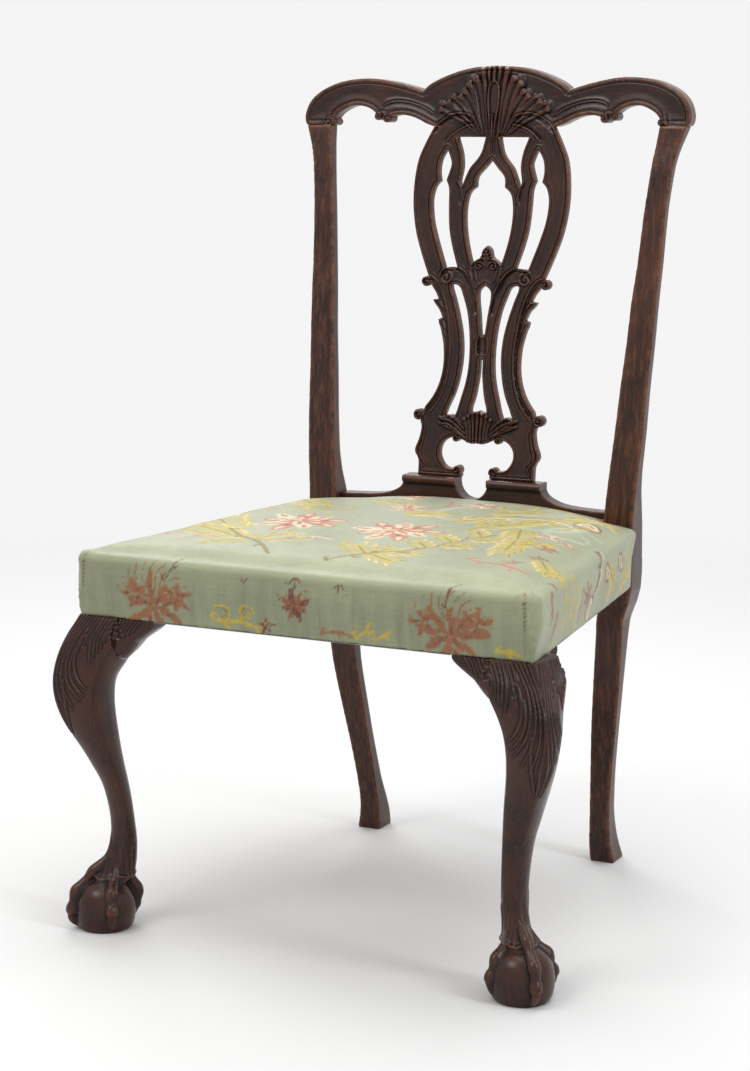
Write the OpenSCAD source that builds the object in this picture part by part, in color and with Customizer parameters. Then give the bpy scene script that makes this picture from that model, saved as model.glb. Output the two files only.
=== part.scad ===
// Carved mahogany side chair with a pierced splat, cabriole front legs on
// ball-and-claw feet, and a seat upholstered over the rails.
// Millimetres, +Z up, X to the viewer's right, the chair faces -Y.
// The origin is on the floor, under the middle of the chair's plan.

/* [Seat] */
// Width of the covered seat across the front, at its lower edge
seat_front_w = 545.5; // [500:5:600]
// Width of the seat where it meets the back posts
seat_back_w = 430.8; // [400:5:450]
// Depth from the front of the cover to the front of the back posts
seat_depth = 437; // [400:5:470]
// Height of the underside of the seat rails
seat_under_z = 364.5; // [340:5:390]
// Height of the upper edge of the cover, before the crown rises
seat_edge_z = 433.7; // [420:1:445]
// Rise of the stuffed crown above the upper edge
seat_crown = 18; // [8:1:24]
// How far the stuffed edge stands out past the rails
edge_bulge = 4.5; // [2:0.5:5]
// Radius of the rounded upper edge of the cover
edge_round = 8; // [7:0.5:10]

/* [Frame timber] */
// Thickness of the seat rails
rail_t = 36; // [28:1:38]
// Thickness of the mortise and tenon joints
tenon_t = 10; // [8:1:12]
// Distance from a rail's face to its tenon
tenon_set = 10; // [8:1:12]
// Width of the square block at the top of a front leg
post_w = 45; // [42:1:50]
// Width of a back post at the seat
stile_w = 38; // [36:1:42]
// Depth of a back post at the seat
stile_d = 38; // [36:1:42]
// Width of a back post under the crest rail
stile_top_w = 33.5; // [28:0.5:38]
// Diameter of the wooden pegs that lock the rail joints
peg_d = 6.4; // [5:0.2:7]
// Clearance left in every glued joint
joint_gap = 0.15; // [0.1:0.05:0.2]

/* [Back] */
// Height of the chair at the middle of the crest rail
chair_h = 974.5; // [950:5:1000]
// Width of the crest rail over its ears
crest_w = 505.6; // [490:5:530]
// Height of the crest rail, from its lowest edge to its top
crest_h = 85.5; // [80:0.5:92]
// Thickness of the crest rail
crest_t = 22; // [20:1:26]
// Hollow of the crest rail in plan
crest_sag = 12; // [6:1:18]
// How far the back posts rake back between the seat and the crest rail
stile_rake = 59.5; // [50:1:70]
// Width of the splat across its upper loops
splat_w = 205; // [190:1:215]
// Thickness of the splat
splat_t = 9.5; // [8:0.5:11]
// Height of the splat's foot, on the ledge of its shoe
splat_foot_z = 477; // [474:1:480]
// How far the carving on the back stands proud
carving_t = 3; // [2:0.5:4]

/* [Legs] */
// How far a back leg rakes back between the seat and the floor
leg_rake = 65.5; // [50:1:75]
// How far a back leg slants in towards the middle
leg_cant = 43; // [25:1:45]
// Distance of a front leg's centre line from the seat's side face
leg_set_x = 14.75; // [13:0.25:17]
// Distance of a front leg's centre line from the seat's front face
leg_set_y = 16.5; // [14:0.5:18]
// Radius of the carved ball under a front leg
ball_r = 35; // [32:1:37]
// Height of the carved ball
ball_h = 58; // [54:1:62]
// Length of a knee bracket along its rail
bracket_l = 45; // [35:1:52]
// Depth of a knee bracket below the rail, where it meets the leg
bracket_h = 52; // [40:1:56]
// Thickness of a knee bracket behind the rail's face
bracket_t = 30; // [24:1:34]

/* [Upholstery] */
// Thickness of the silk cover
cover_t = 1.5; // [1:0.1:2]
// Thickness of the linen under the silk
linen_t = 0.8; // [0.6:0.1:1]
// Clearance between layers of cloth
cloth_gap = 0.2; // [0.15:0.05:0.3]
// Thickness of the sackcloth
sack_t = 1; // [0.6:0.1:1.2]
// Width of a strip of webbing
web_w = 50; // [44:1:56]
// Thickness of the webbing
web_t = 1.5; // [1.2:0.1:2]
// Diameter of a tack's head
tack_head_d = 6; // [5:0.5:7]
// Thickness of a tack's head
tack_head_t = 0.8; // [0.6:0.1:1]
// Diameter of a tack's shank
tack_d = 1.6; // [1.4:0.1:2]
// Length of a tack
tack_l = 11; // [9:1:14]

/* [Hidden] */

// Extra reach of every cut, past the face that it opens
overrun = 1;
// Straight pieces in each stretch of a smooth curve
curve_steps = 3;
// Sides of a carved round form
carve_fn = 14;

// Share of the crest rail's height and half-width at its joints
crest_joint_share = 0.164;
crest_ear_share = 0.987;
splat_joint_share = 0.152;

// Upper edge of the crest rail, from its middle to its ear, in shares of
// its half-width and its height
crest_arch_share = [[0, 1], [0.099, 0.985], [0.178, 0.945], [0.257, 0.871],
    [0.316, 0.797], [0.356, 0.727], [0.38, 0.656]];
crest_wing_share = [[0.38, 0.656], [0.415, 0.692], [0.494, 0.754], [0.574, 0.803],
    [0.653, 0.83], [0.732, 0.824], [0.811, 0.789], [0.874, 0.727], [0.926, 0.645],
    [0.965, 0.545], [0.989, 0.428], [1, 0.305], [0.997, 0.211], [0.987, 0.164]];
// Lower edge of the crest rail, from the back post to the splat
crest_outer_arch_share = [[0.8465, 0.27], [0.827, 0.334], [0.795, 0.393],
    [0.7595, 0.434], [0.724, 0.4455], [0.684, 0.428], [0.649, 0.387], [0.621, 0.32]];
crest_inner_arch_share = [[0.546, 0.287], [0.522, 0.305], [0.4825, 0.311],
    [0.435, 0.287], [0.392, 0.24], [0.356, 0.188], [0.316, 0.152]];
// Round drops under the crest rail: place, and radius as a share of its height
crest_drops_share = [[0.855, 0.212, 0.053], [0.613, 0.293, 0.059],
    [0.568, 0.264, 0.062]];
// Lobes of the shell: lean in degrees, then length and tip radius as shares of
// the crest rail's height
crest_lobes_share = [[0, 0.93, 0.085], [15, 0.9, 0.08], [28, 0.82, 0.075],
    [42, 0.76, 0.07], [55, 0.82, 0.065], [66, 0.86, 0.055]];
shell_rise_share = 0.55;
shell_root_share = 0.22;
shell_stem_r_share = 0.0935;

// Outline of the splat, drawn on a grid of squares as a chair maker's pattern
// is. The grid is 41 squares wide and 85 high, and each number is the share
// in squares, from the middle line and from the foot.
splat_grid = [41, 85];
splat_loop_share = [[15.8, 85], [18.1, 80.6], [19.7, 76.6], [20.45, 71.2],
    [20.4, 65.6], [19.4, 59.6], [17.6, 54.2], [15.4, 48.8]];
splat_scroll_share = [[14.1, 46], [13.1, 44.7], [12.3, 43.2]];
splat_leaf_share = [[13.8, 42.9], [13, 41.7], [11.9, 40.5], [11, 38.6]];
splat_waist_share = [[12, 38.2], [11.8, 37.1], [11.2, 35.6], [10.3, 31.8],
    [10.1, 27.2], [10.8, 23.1], [12.3, 19.6], [14.4, 16.7]];
splat_foot_share = [[15.5, 13], [15.1, 11.6], [15.6, 8.8], [16.6, 5.8],
    [15.5, 3.5], [15.4, 0]];
splat_arch_share = [[3.8, 0], [4.2, 2.4], [6, 1.9], [8.2, 2.4], [9.7, 4.7],
    [9.6, 7.1], [8.1, 8.9], [5.6, 9.6], [3.5, 8.9], [1.7, 8.2], [0, 8.3]];
// Tenons across the splat, and half of the shoe's ledge, on the same grid
loop_tenon_share = [11.2, 15];
stem_tenon_share = 1.6;
foot_tenon_share = [5, 14];
ledge_share = 18.4;
shoe_low_share = 0.8;
// Round ends of the scrolls: place, radius
splat_volutes_share = [[15.8, 47.3, 1.24], [16.1, 14.6, 1.38], [4.8, 1.54, 1.2],
    [5.6, 9.3, 0.88]];
splat_eye_share = [[12, 79.6], [11, 77.3], [10.7, 75.5], [11.8, 72]];
splat_eye_low_share = [[11.8, 72], [11, 69.8], [10.8, 65.4], [10.4, 60.5],
    [9.4, 56.1], [7.7, 51]];
splat_eye_out_share = [[11.1, 50.8], [12.6, 54.8], [13.9, 58.5], [15, 62.3],
    [15.5, 67], [14.8, 70.2], [13.5, 71.7]];
splat_eye_top_share = [[13.5, 71.7], [13.9, 74.2], [13.5, 77], [12, 79.6]];
splat_window_share = [[9.2, 81.7], [9, 84], [2.4, 84], [2.4, 80.4], [3.4, 77.8],
    [5.6, 75.1], [6.8, 72.6], [7.6, 70.7], [8.2, 71.7], [7.7, 75.2], [8.1, 78.6],
    [9.2, 81.7]];
splat_heart_top_share = [[0, 77], [1.7, 75], [3.6, 72.8], [3.8, 70.4]];
splat_heart_share = [[3.8, 70.4], [5.5, 68.8], [6.2, 65.8], [6.2, 62.2], [5.7, 58.5],
    [4.8, 54.8], [3.9, 51.9]];
splat_motif_share = [[3.9, 51.9], [2.6, 52.8], [1.6, 53.6], [1, 55.4], [0, 56.3]];
splat_lane_share = [[6.5, 45.9], [7.4, 46.6], [9, 46.5], [8, 43.4], [6.7, 39.3],
    [5.6, 34.6], [5.2, 29.8], [5.6, 25.1], [6.6, 20.7], [8.2, 16.9], [9, 14.8]];
splat_lane_in_share = [[9, 14.8], [7.2, 15], [6.2, 14.9], [4.9, 19.2], [3.8, 23.4],
    [3.3, 27.5], [3.3, 32.4], [3.8, 37.2], [4.7, 41.3], [6.5, 45.9]];
splat_slit_share = [[0, 46.7], [1.5, 45.4], [1.6, 43.2], [1.1, 39.8], [0.5, 34.8],
    [0, 34.8]];
splat_dart_share = [[0, 28.6], [0.4, 28.6], [0.5, 24.8], [1.2, 19.9], [2.1, 16],
    [0, 16.3]];
// Carving that stands proud of the splat, on the same grid
splat_boss_share = [[0, 56.4], [1.4, 54.6], [2.6, 52.8], [4.1, 51.6], [3.9, 49.2],
    [2.9, 46.8], [1.4, 45.8], [0, 47]];
splat_shell_share = [[0, 16.4], [2.2, 16.1], [4, 15.4], [6.4, 15], [9.6, 14.9],
    [8.2, 13.2], [5.4, 12.6], [4.2, 10.6], [2.6, 8.9], [0, 8.5]];

// Front edge of the shoe from the splat's ledge down to the back post, in
// shares of the way out and of the drop
shoe_sweep_share = [[0, 1], [0.05, 0.68], [0.15, 0.42], [0.3, 0.2], [0.55, 0.07], [1, 0]];

// Back leg and post. Rows give the height, the slant, the rake, the width,
// the depth and the rounding of the back corners, each as a share.
rear_leg_share = [[0, 0.88, 1, 0.83, 0.97, 0.1], [0.055, 0.97, 0.965, 0.755, 0.92, 0.2],
    [0.11, 1, 0.92, 0.7, 0.84, 0.3], [0.19, 0.97, 0.84, 0.68, 0.73, 0.4],
    [0.33, 0.84, 0.69, 0.735, 0.655, 0.46], [0.494, 0.65, 0.51, 0.835, 0.63, 0.46],
    [0.658, 0.48, 0.35, 0.885, 0.71, 0.44], [0.823, 0.39, 0.275, 0.885, 0.89, 0.35],
    [0.885, 0.33, 0.21, 0.9, 0.93, 0.22], [0.945, 0.13, 0.09, 0.96, 0.97, 0.1],
    [1, 0, 0, 1, 1, 0.03]];
rear_post_share = [[0, 0, 0, 1, 1, 0.03], [0.038, 0.005, 0.01, 0.96, 0.95, 0.1],
    [0.09, 0.05, 0.04, 0.95, 0.85, 0.3], [0.144, 0.1, 0.073, 0.94, 0.78, 0.42],
    [0.25, 0.19, 0.18, 0.925, 0.68, 0.46], [0.357, 0.235, 0.285, 0.88, 0.64, 0.46],
    [0.463, 0.305, 0.395, 0.84, 0.6, 0.46], [0.569, 0.355, 0.5, 0.81, 0.57, 0.46],
    [0.654, 0.4, 0.61, 0.757, 0.55, 0.46], [0.781, 0.466, 0.725, 0.703, 0.54, 0.46],
    [0.845, 0.537, 0.795, 0.693, 0.53, 0.44], [0.909, 0.64, 0.873, 0.709, 0.53, 0.4],
    [0.951, 0.78, 0.94, 0.761, 0.55, 0.3]];

// Front leg. Rows give the height as a share of the seat's underside, then
// how far the leg reaches out, in and across along its diagonal as shares of
// the post's width, and how square it is, from 1 for a square to 2 for round.
front_leg_share = [[0.125, 0.3, -0.42, 0.3, 2], [0.155, 0.3, -0.76, 0.42, 2],
    [0.185, 0.12, -0.84, 0.37, 2], [0.22, -0.06, -0.87, 0.33, 2],
    [0.26, -0.18, -0.88, 0.325, 1.9], [0.3, -0.22, -0.86, 0.33, 1.9],
    [0.355, -0.2, -0.81, 0.35, 1.85], [0.41, -0.12, -0.75, 0.375, 1.8],
    [0.465, 0.01, -0.67, 0.41, 1.75], [0.52, 0.24, -0.58, 0.465, 1.7],
    [0.575, 0.49, -0.5, 0.515, 1.65], [0.63, 0.77, -0.435, 0.555, 1.6],
    [0.685, 1.02, -0.38, 0.6, 1.55], [0.74, 1.16, -0.36, 0.65, 1.5],
    [0.795, 1.19, -0.42, 0.72, 1.45], [0.845, 1.13, -0.68, 0.81, 1.35],
    [0.89, 1.01, -0.9, 0.9, 1.25], [0.935, 0.83, -0.97, 0.92, 1.2],
    [0.97, 0.65, -0.98, 0.85, 1.15], [1, 0.49, -0.98, 0.735, 1.1]];
stump_share = 0.87;
foot_shift_share = -0.033;
ankle_shift_share = -0.444;
// Half outline of the ball: radius and height as shares
ball_share = [[0.84, 0], [0.93, 0.1], [0.985, 0.24], [1, 0.4], [0.96, 0.58],
    [0.84, 0.76], [0.62, 0.9], [0.34, 0.98], [0, 1]];
// A talon: reach out and thickness as shares of the ball's radius, height as a
// share of the ball's height, and how far it has moved from the ankle's
// middle to the ball's
talon_share = [[0.31, 1.45, 0.14, 0], [0.51, 1.26, 0.17, 0.35], [0.63, 1.1, 0.2, 0.6],
    [0.78, 0.96, 0.18, 0.8], [0.95, 0.78, 0.21, 1], [1.03, 0.57, 0.17, 1],
    [1.1, 0.38, 0.2, 1], [1.06, 0.19, 0.145, 1], [0.9, 0.07, 0.08, 1]];

// Knee bracket along its length: way out, depth and bulge as shares
bracket_share = [[-0.15, 1, 1], [0, 1, 1], [0.2, 0.83, 0.85], [0.45, 0.56, 0.62], [0.7, 0.4, 0.4],
    [0.88, 0.28, 0.22], [0.97, 0.2, 0.1], [1, 0.14, 0.04]];
bracket_bulge = 9;

// Crown of the seat
crown_u_power = 2.2;
crown_v_power = 3;
top_rings_share = [0.1, 0.25, 0.42, 0.6, 0.8];
// Points of the cover's rim along half the front and one side, as shares
rim_front_share = [0, 0.35, 0.7];
rim_side_share = [0.2, 0.4, 0.6, 0.8];
rim_rear_share = [0.66, 0.33];
// Rise of the rear edge while the side edge climbs its profile
rear_rise_share = [0, 0.15, 0.5, 0.75, 0.92, 1];
waist_drop = 16;
rear_lip_w = 2.3;

// Corner rounding of a back leg's front edges, and of the front posts
rear_front_round_share = 0.06;
post_round = 6;

// Joints
tenon_wall = 12;
tenon_web = 4;
side_tenon_l = 20;
stub_tenon_l = 10;
stile_tenon_l = 22;
stile_tenon_w_share = 0.6;
stile_tenon_t_share = 0.46;
glue_block_l = 40;
peg_past = 6;

// Places along the rails
web_end_inset = 3;
web_tack_share = 0.3;
tab_w = 8;
tab_l = 20;
tab_t = 0.8;
tab_y_share = 0.93;
web_long_x_share = [-0.36, -0.12, 0.12, 0.36];
web_cross_y_share = [0.27, 0.46, 0.65, 0.84];
hem_w = 18;
hem_inset = 1;
tack_pitch = 45;
web_fold_l = 22;
peg_set = 12;
nail_d = 2.4;

// Plan of the seat. The cover's outer face is the reference, and an inset is
// measured square to each face towards the inside.
front_half = seat_front_w / 2;
back_half = seat_back_w / 2;
side_slope = (front_half - back_half) / seat_depth;
side_angle = atan(side_slope);
rail_inset = cover_t + linen_t + 2 * cloth_gap;
post_in_x = side_x(0, rail_inset) - post_w;
post_back_y = rail_inset + post_w;
stile_in_x = back_half - stile_w;
leg_x = front_half - leg_set_x;

// Heights of the layers on the rails
roll_r = edge_round - rail_inset;
roll_z = seat_edge_z - edge_round;
sack_top_z = roll_z - roll_r;
web_top_z = sack_top_z - sack_t - tack_head_t;
rail_top_z = web_top_z - 2 * web_t;
rail_h = rail_top_z - seat_under_z;
tenon_shoulder = rail_h / 6;

// Back. The crest rail's lowest edge is at its middle.
crest_half = crest_w / 2;
crest_bottom_z = chair_h - crest_h;
crest_joint_z = crest_bottom_z + crest_joint_share * crest_h;
stile_top_half = crest_half * crest_ear_share;
crest_y = seat_depth + stile_rake - crest_sag / 8;
crest_bow_r = (crest_half * crest_half + crest_sag * crest_sag) / (2 * crest_sag);
splat_set = 26;
splat_foot_y = seat_depth + splat_set;
splat_top_z = crest_bottom_z + splat_joint_share * crest_h;
splat_h = splat_top_z - splat_foot_z;
back_rake = atan((crest_y + crest_sag - splat_foot_y) / splat_h);
splat_tenon_t = splat_t * 0.5;
splat_tenon_l = 12;

// Shoe under the splat, on the back rail
rear_rail_set = 4;
rear_rail_back_set = 1;
rear_rail_y = seat_depth + rear_rail_set;
shoe_front_y = splat_foot_y - 10;
shoe_back_y = seat_depth + stile_d - rear_rail_back_set;
seat_rear_y = shoe_front_y - cloth_gap;
ledge_h = 10;
ledge_in_x = 15;
notch_r = 21;

// Middle of the plan, half way between the front claws and the back feet
front_reach = 25;
back_reach = seat_depth + leg_rake + stile_d;
plan_mid_y = (back_reach - front_reach) / 2;

// Block at the seat that the rails are jointed into
block_under = 4.5;
block_over = 16;
block_bottom_z = seat_under_z - block_under;
block_top_z = rail_top_z + block_over;

// The side face of the seat: its X at a given Y, moved in by an inset
function side_x(y, inset) = front_half - y * side_slope - inset / cos(side_angle);

// A smooth curve through points or rows of numbers
function spline(a, b, c, d, t) =
    ((2 * b) + (c - a) * t + (2 * a - 5 * b + 4 * c - d) * t * t
        + (3 * b - a - 3 * c + d) * t * t * t) / 2;
function curve(p, steps = curve_steps) = [
    for (i = [0 : len(p) - 2]) for (k = [0 : steps - 1])
        spline(p[max(i - 1, 0)], p[i], p[i + 1], p[min(i + 2, len(p) - 1)], k / steps),
    p[len(p) - 1]
];
// The same curve without its first point, to follow another
function next_curve(p, steps = curve_steps) =
    let (c = curve(p, steps)) [for (i = [1 : len(c) - 1]) c[i]];
// A half outline and its mirror image
function both(h) = concat(h, [for (i = [len(h) - 1 : -1 : 0]) if (h[i][0] > 0)
    [-h[i][0], h[i][1]]]);
function mirrored(p) = [for (q = p) [-q[0], q[1]]];

// Faces of a closed skin over rings of n points each
function skin_faces(rings, n) = concat(
    [[for (i = [0 : n - 1]) i]],
    [for (r = [0 : rings - 2]) for (i = [0 : n - 1]) for (f = [0, 1])
        let (a = r * n + i, b = r * n + (i + 1) % n)
        f == 0 ? [a, a + n, b + n] : [a, b + n, b]],
    [[for (i = [n - 1 : -1 : 0]) (rings - 1) * n + i]]);
module skin(rings) {
    n = len(rings[0]);
    polyhedron(points = [for (r = rings) each r], faces = skin_faces(len(rings), n),
        convexity = 6);
}

// Everything is drawn with the front of the cover at Y = 0 and then centred
module centred() { translate([0, -plan_mid_y, 0]) children(); }
module sided(side) { if (side < 0) mirror([1, 0, 0]) children(); else children(); }
// A flat outline in X and Z, drawn out along Y
module drawn_y(y0, y1) {
    translate([0, y1, 0]) rotate([90, 0, 0]) linear_extrude(y1 - y0) children();
}
// A flat outline in X and Y, drawn out along Z
module drawn_z(z0, z1) { translate([0, 0, z0]) linear_extrude(z1 - z0) children(); }
module box(x0, x1, y0, y1, z0, z1) {
    translate([x0, y0, z0]) cube([x1 - x0, y1 - y0, z1 - z0]);
}

// Crest rail

function crest_pt(p) = [p[0] * crest_half, crest_bottom_z + p[1] * crest_h];
function crest_line(share) = [for (p = share) crest_pt(p)];
function bow_y(x) = crest_y + crest_sag - (crest_bow_r - sqrt(crest_bow_r * crest_bow_r - x * x));
function crest_half_outline() = concat(
    curve(crest_line(crest_arch_share)),
    next_curve(crest_line(crest_wing_share)),
    [[stile_top_half - stile_top_w, crest_joint_z]],
    curve(crest_line(crest_outer_arch_share)),
    curve(crest_line(crest_inner_arch_share)),
    [[splat_step_x(), splat_top_z], [splat_step_x(), crest_bottom_z], [0, crest_bottom_z]]);
function splat_step_x() = grid_pt([10.4, 0])[0];

module crest_slab(front, back) {
    xs = [for (k = [-12 : 12]) k / 12 * (crest_half + overrun)];
    translate([0, 0, crest_bottom_z])
        multmatrix([[1, 0, 0, 0], [0, 1, tan(back_rake), 0], [0, 0, 1, 0]])
        translate([0, 0, -crest_h]) linear_extrude(3 * crest_h)
        polygon(concat([for (x = xs) [x, bow_y(x) + front]],
            [for (i = [len(xs) - 1 : -1 : 0]) [xs[i], bow_y(xs[i]) + back]]));
}
module crest_outline() {
    polygon(both(crest_half_outline()));
    for (d = crest_drops_share) for (s = [-1, 1])
        translate([s * d[0] * crest_half, crest_bottom_z + d[1] * crest_h])
            circle(d[2] * crest_h, $fn = 24);
}
module crest_lobe(lobe) {
    reach = lobe[1] * crest_h;
    tip_r = lobe[2] * crest_h;
    hull() {
        translate([0, 0, reach - tip_r]) sphere(tip_r, $fn = carve_fn);
        translate([0, 0, reach * shell_rise_share]) sphere(tip_r, $fn = carve_fn);
        translate([0, 0, reach * shell_root_share]) sphere(tip_r / 2, $fn = carve_fn);
    }
}
module crest_shell() {
    root_z = shell_root_share * crest_h;
    stem_r = shell_stem_r_share * crest_h;
    translate([0, crest_y + crest_sag, crest_bottom_z]) rotate([-back_rake, 0, 0]) {
        for (lobe = crest_lobes_share) for (s = lobe[0] == 0 ? [1] : [-1, 1])
            rotate([0, s * lobe[0], 0]) crest_lobe(lobe);
        translate([0, 0, root_z / 4]) rotate(180 / carve_fn)
            cylinder(h = root_z, r = stem_r, $fn = carve_fn);
    }
}
module crest_rail() {
    color("#3b2019") centred() difference() {
        union() {
            intersection() {
                crest_slab(0, crest_t);
                drawn_y(seat_depth, seat_depth + 3 * stile_rake) crest_outline();
            }
            intersection() {
                crest_shell();
                box(-crest_half, crest_half, seat_depth, crest_y + crest_sag + crest_t / 2,
                    crest_bottom_z - crest_h, chair_h);
            }
        }
        for (s = [-1, 1]) sided(s) stile_tenon(joint_gap);
        splat_tenons(joint_gap);
    }
}

// Splat

function grid_pt(p) = [p[0] * splat_w / splat_grid[0],
    splat_foot_z + p[1] * splat_h / splat_grid[1]];
function grid_line(share) = [for (p = share) grid_pt(p)];
function splat_half_outline() = concat(
    [[0, crest_bottom_z], [splat_step_x(), crest_bottom_z], [splat_step_x(), splat_top_z]],
    curve(grid_line(splat_loop_share)), curve(grid_line(splat_scroll_share)),
    curve(grid_line(splat_leaf_share)), curve(grid_line(splat_waist_share)),
    curve(grid_line(splat_foot_share)), curve(grid_line(splat_arch_share)));
splat_eye = concat(curve(grid_line(splat_eye_share)),
    next_curve(grid_line(splat_eye_low_share)), curve(grid_line(splat_eye_out_share)),
    next_curve(grid_line(splat_eye_top_share)));
splat_lane = concat(curve(grid_line(splat_lane_share)),
    next_curve(grid_line(splat_lane_in_share)));
splat_heart = concat(curve(grid_line(splat_heart_top_share)),
    next_curve(grid_line(splat_heart_share)), next_curve(grid_line(splat_motif_share)));

module splat_slab(front, back) {
    z0 = splat_foot_z - splat_h;
    z1 = splat_foot_z + 2 * splat_h;
    translate([-splat_w, 0, 0]) rotate([90, 0, 90]) linear_extrude(2 * splat_w)
        polygon([for (p = [[front, z0], [back, z0], [back, z1], [front, z1]])
            [splat_foot_y + p[0] + (p[1] - splat_foot_z) * tan(back_rake), p[1]]]);
}
module splat_outline() {
    difference() {
        union() {
            polygon(both(splat_half_outline()));
            for (v = splat_volutes_share) for (s = [-1, 1]) translate(grid_pt([s * v[0], v[1]]))
                circle(v[2] * splat_w / splat_grid[0], $fn = 24);
        }
        polygon(splat_eye);
        polygon(mirrored(splat_eye));
        polygon(curve(grid_line(splat_window_share)));
        polygon(mirrored(curve(grid_line(splat_window_share))));
        polygon(both(splat_heart));
        polygon(splat_lane);
        polygon(mirrored(splat_lane));
        polygon(both(curve(grid_line(splat_slit_share))));
        polygon(both(curve(grid_line(splat_dart_share))));
    }
}
// Tenons into the crest rail, two over the loops and one on the stem
module splat_tenons(gap) {
    mid = splat_t / 2;
    loop_x0 = grid_pt([loop_tenon_share[0], 0])[0];
    loop_x1 = grid_pt([loop_tenon_share[1], 0])[0];
    stem_x = grid_pt([stem_tenon_share, 0])[0];
    intersection() {
        splat_slab(mid - splat_tenon_t / 2 - gap, mid + splat_tenon_t / 2 + gap);
        union() {
            for (s = [-1, 1]) sided(s) box(loop_x0 - gap, loop_x1 + gap, seat_depth,
                seat_depth + 2 * stile_rake, splat_top_z - tenon_root(gap),
                splat_top_z + splat_tenon_l + gap);
            box(-stem_x - gap, stem_x + gap, seat_depth, seat_depth + 2 * stile_rake,
                crest_bottom_z - tenon_root(gap), crest_bottom_z + splat_tenon_l + gap);
        }
    }
}
// A tenon reaches into its own piece, and a mortise cut opens past the face
function tenon_root(gap) = gap > 0 ? overrun : overrun * 2;
module splat_feet(gap) {
    mid = splat_t / 2;
    foot_x0 = grid_pt([foot_tenon_share[0], 0])[0];
    foot_x1 = grid_pt([foot_tenon_share[1], 0])[0];
    intersection() {
        splat_slab(mid - splat_tenon_t / 2 - gap, mid + splat_tenon_t / 2 + gap);
        for (s = [-1, 1]) sided(s) box(foot_x0 - gap, foot_x1 + gap, seat_depth,
            shoe_back_y, splat_foot_z - splat_tenon_l - gap,
            splat_foot_z + tenon_root(gap));
    }
}
module splat() {
    color("#3b2019") centred() union() {
        intersection() {
            splat_slab(0, splat_t);
            drawn_y(seat_depth, seat_depth + 2 * stile_rake) splat_outline();
        }
        intersection() {
            splat_slab(-carving_t, splat_t / 2);
            drawn_y(seat_depth, seat_depth + 2 * stile_rake) {
                polygon(both(curve(grid_line(splat_boss_share))));
                polygon(both(curve(grid_line(splat_shell_share))));
            }
        }
        splat_tenons(0);
        splat_feet(0);
    }
}

// Shoe under the splat

ledge_out_x = grid_pt([ledge_share, 0])[0];
shoe_low_z = seat_edge_z + seat_crown * shoe_low_share;
shoe_end_x = stile_in_x - joint_gap;
function shoe_half_outline() = concat(
    [[0, splat_foot_z], [ledge_out_x, splat_foot_z]],
    curve([for (p = shoe_sweep_share) [lerp(ledge_out_x, shoe_end_x, p[0]),
        lerp(shoe_low_z, splat_foot_z - ledge_h, p[1])]]),
    [[shoe_end_x, rail_top_z], [0, rail_top_z]]);
function lerp(a, b, t) = a + (b - a) * t;
module splat_shoe() {
    ledge_r = ledge_h / 2;
    color("#3b2019") centred() difference() {
        union() {
            drawn_y(shoe_front_y, shoe_back_y) intersection() {
                polygon(both(shoe_half_outline()));
                translate([-shoe_end_x, rail_top_z])
                    square([2 * shoe_end_x, splat_foot_z - ledge_h / 2 - rail_top_z]);
            }
            for (s = [-1, 1]) sided(s) {
                box(ledge_in_x, ledge_out_x, shoe_front_y, shoe_back_y,
                    splat_foot_z - ledge_h, splat_foot_z);
                translate([ledge_in_x, shoe_front_y, splat_foot_z - ledge_r])
                    rotate([0, 90, 0]) cylinder(h = ledge_out_x - ledge_in_x, r = ledge_r,
                        $fn = 24);
            }
        }
        translate([0, shoe_back_y + overrun, splat_foot_z - ledge_r]) rotate([90, 0, 0])
            cylinder(h = shoe_back_y - shoe_front_y + ledge_h + overrun, r = notch_r, $fn = 48);
        splat_feet(joint_gap);
        shoe_nail_holes();
    }
}
// Holes for the shoe's two nails, through it and into the back rail
module shoe_nail_holes() {
    for (s = [-1, 1]) translate([s * shoe_nail_x, shoe_nail_y, rail_top_z - tack_l])
        cylinder(h = splat_foot_z - rail_top_z + tack_l, d = nail_d + 2 * joint_gap, $fn = 16);
}
shoe_nail_x = (ledge_out_x + shoe_end_x) / 2;
shoe_nail_y = (shoe_front_y + shoe_back_y) / 2;
module shoe_nails() {
    color("#4a4540") centred() for (s = [-1, 1])
        translate([s * shoe_nail_x, shoe_nail_y, rail_top_z - tack_l])
            cylinder(h = shoe_low_z - rail_top_z + tack_l, d = nail_d, $fn = 16);
}

// Back legs

function rear_ring(row) =
    let (z = row[0], x = row[1], y = row[2], w = row[3], d = row[4],
        front_r = rear_front_round_share * w, back_r = row[5] * w)
    [for (c = [[x - front_r, y + front_r, front_r, -90], [x - back_r, y + d - back_r, back_r, 0],
        [x - w + back_r, y + d - back_r, back_r, 90],
        [x - w + front_r, y + front_r, front_r, 180]])
        for (k = [0 : 3]) [c[0] + c[2] * cos(c[3] + 30 * k), c[1] + c[2] * sin(c[3] + 30 * k), z]];
rear_top_row_share = [1, 1, 1, stile_top_w / stile_w, crest_t / stile_d, 0.15];
rear_rows = concat(
    [for (r = curve(rear_leg_share, 2)) [r[0] * block_bottom_z, back_half - r[1] * leg_cant,
        seat_depth + r[2] * leg_rake, r[3] * stile_w, r[4] * stile_d, r[5]]],
    [for (r = curve(concat(rear_post_share, [rear_top_row_share]), 2))
        [lerp(block_top_z, crest_joint_z, r[0]), lerp(back_half, stile_top_half, r[1]),
        seat_depth + r[2] * stile_rake, r[3] * stile_w, r[4] * stile_d, r[5]]]);
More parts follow.
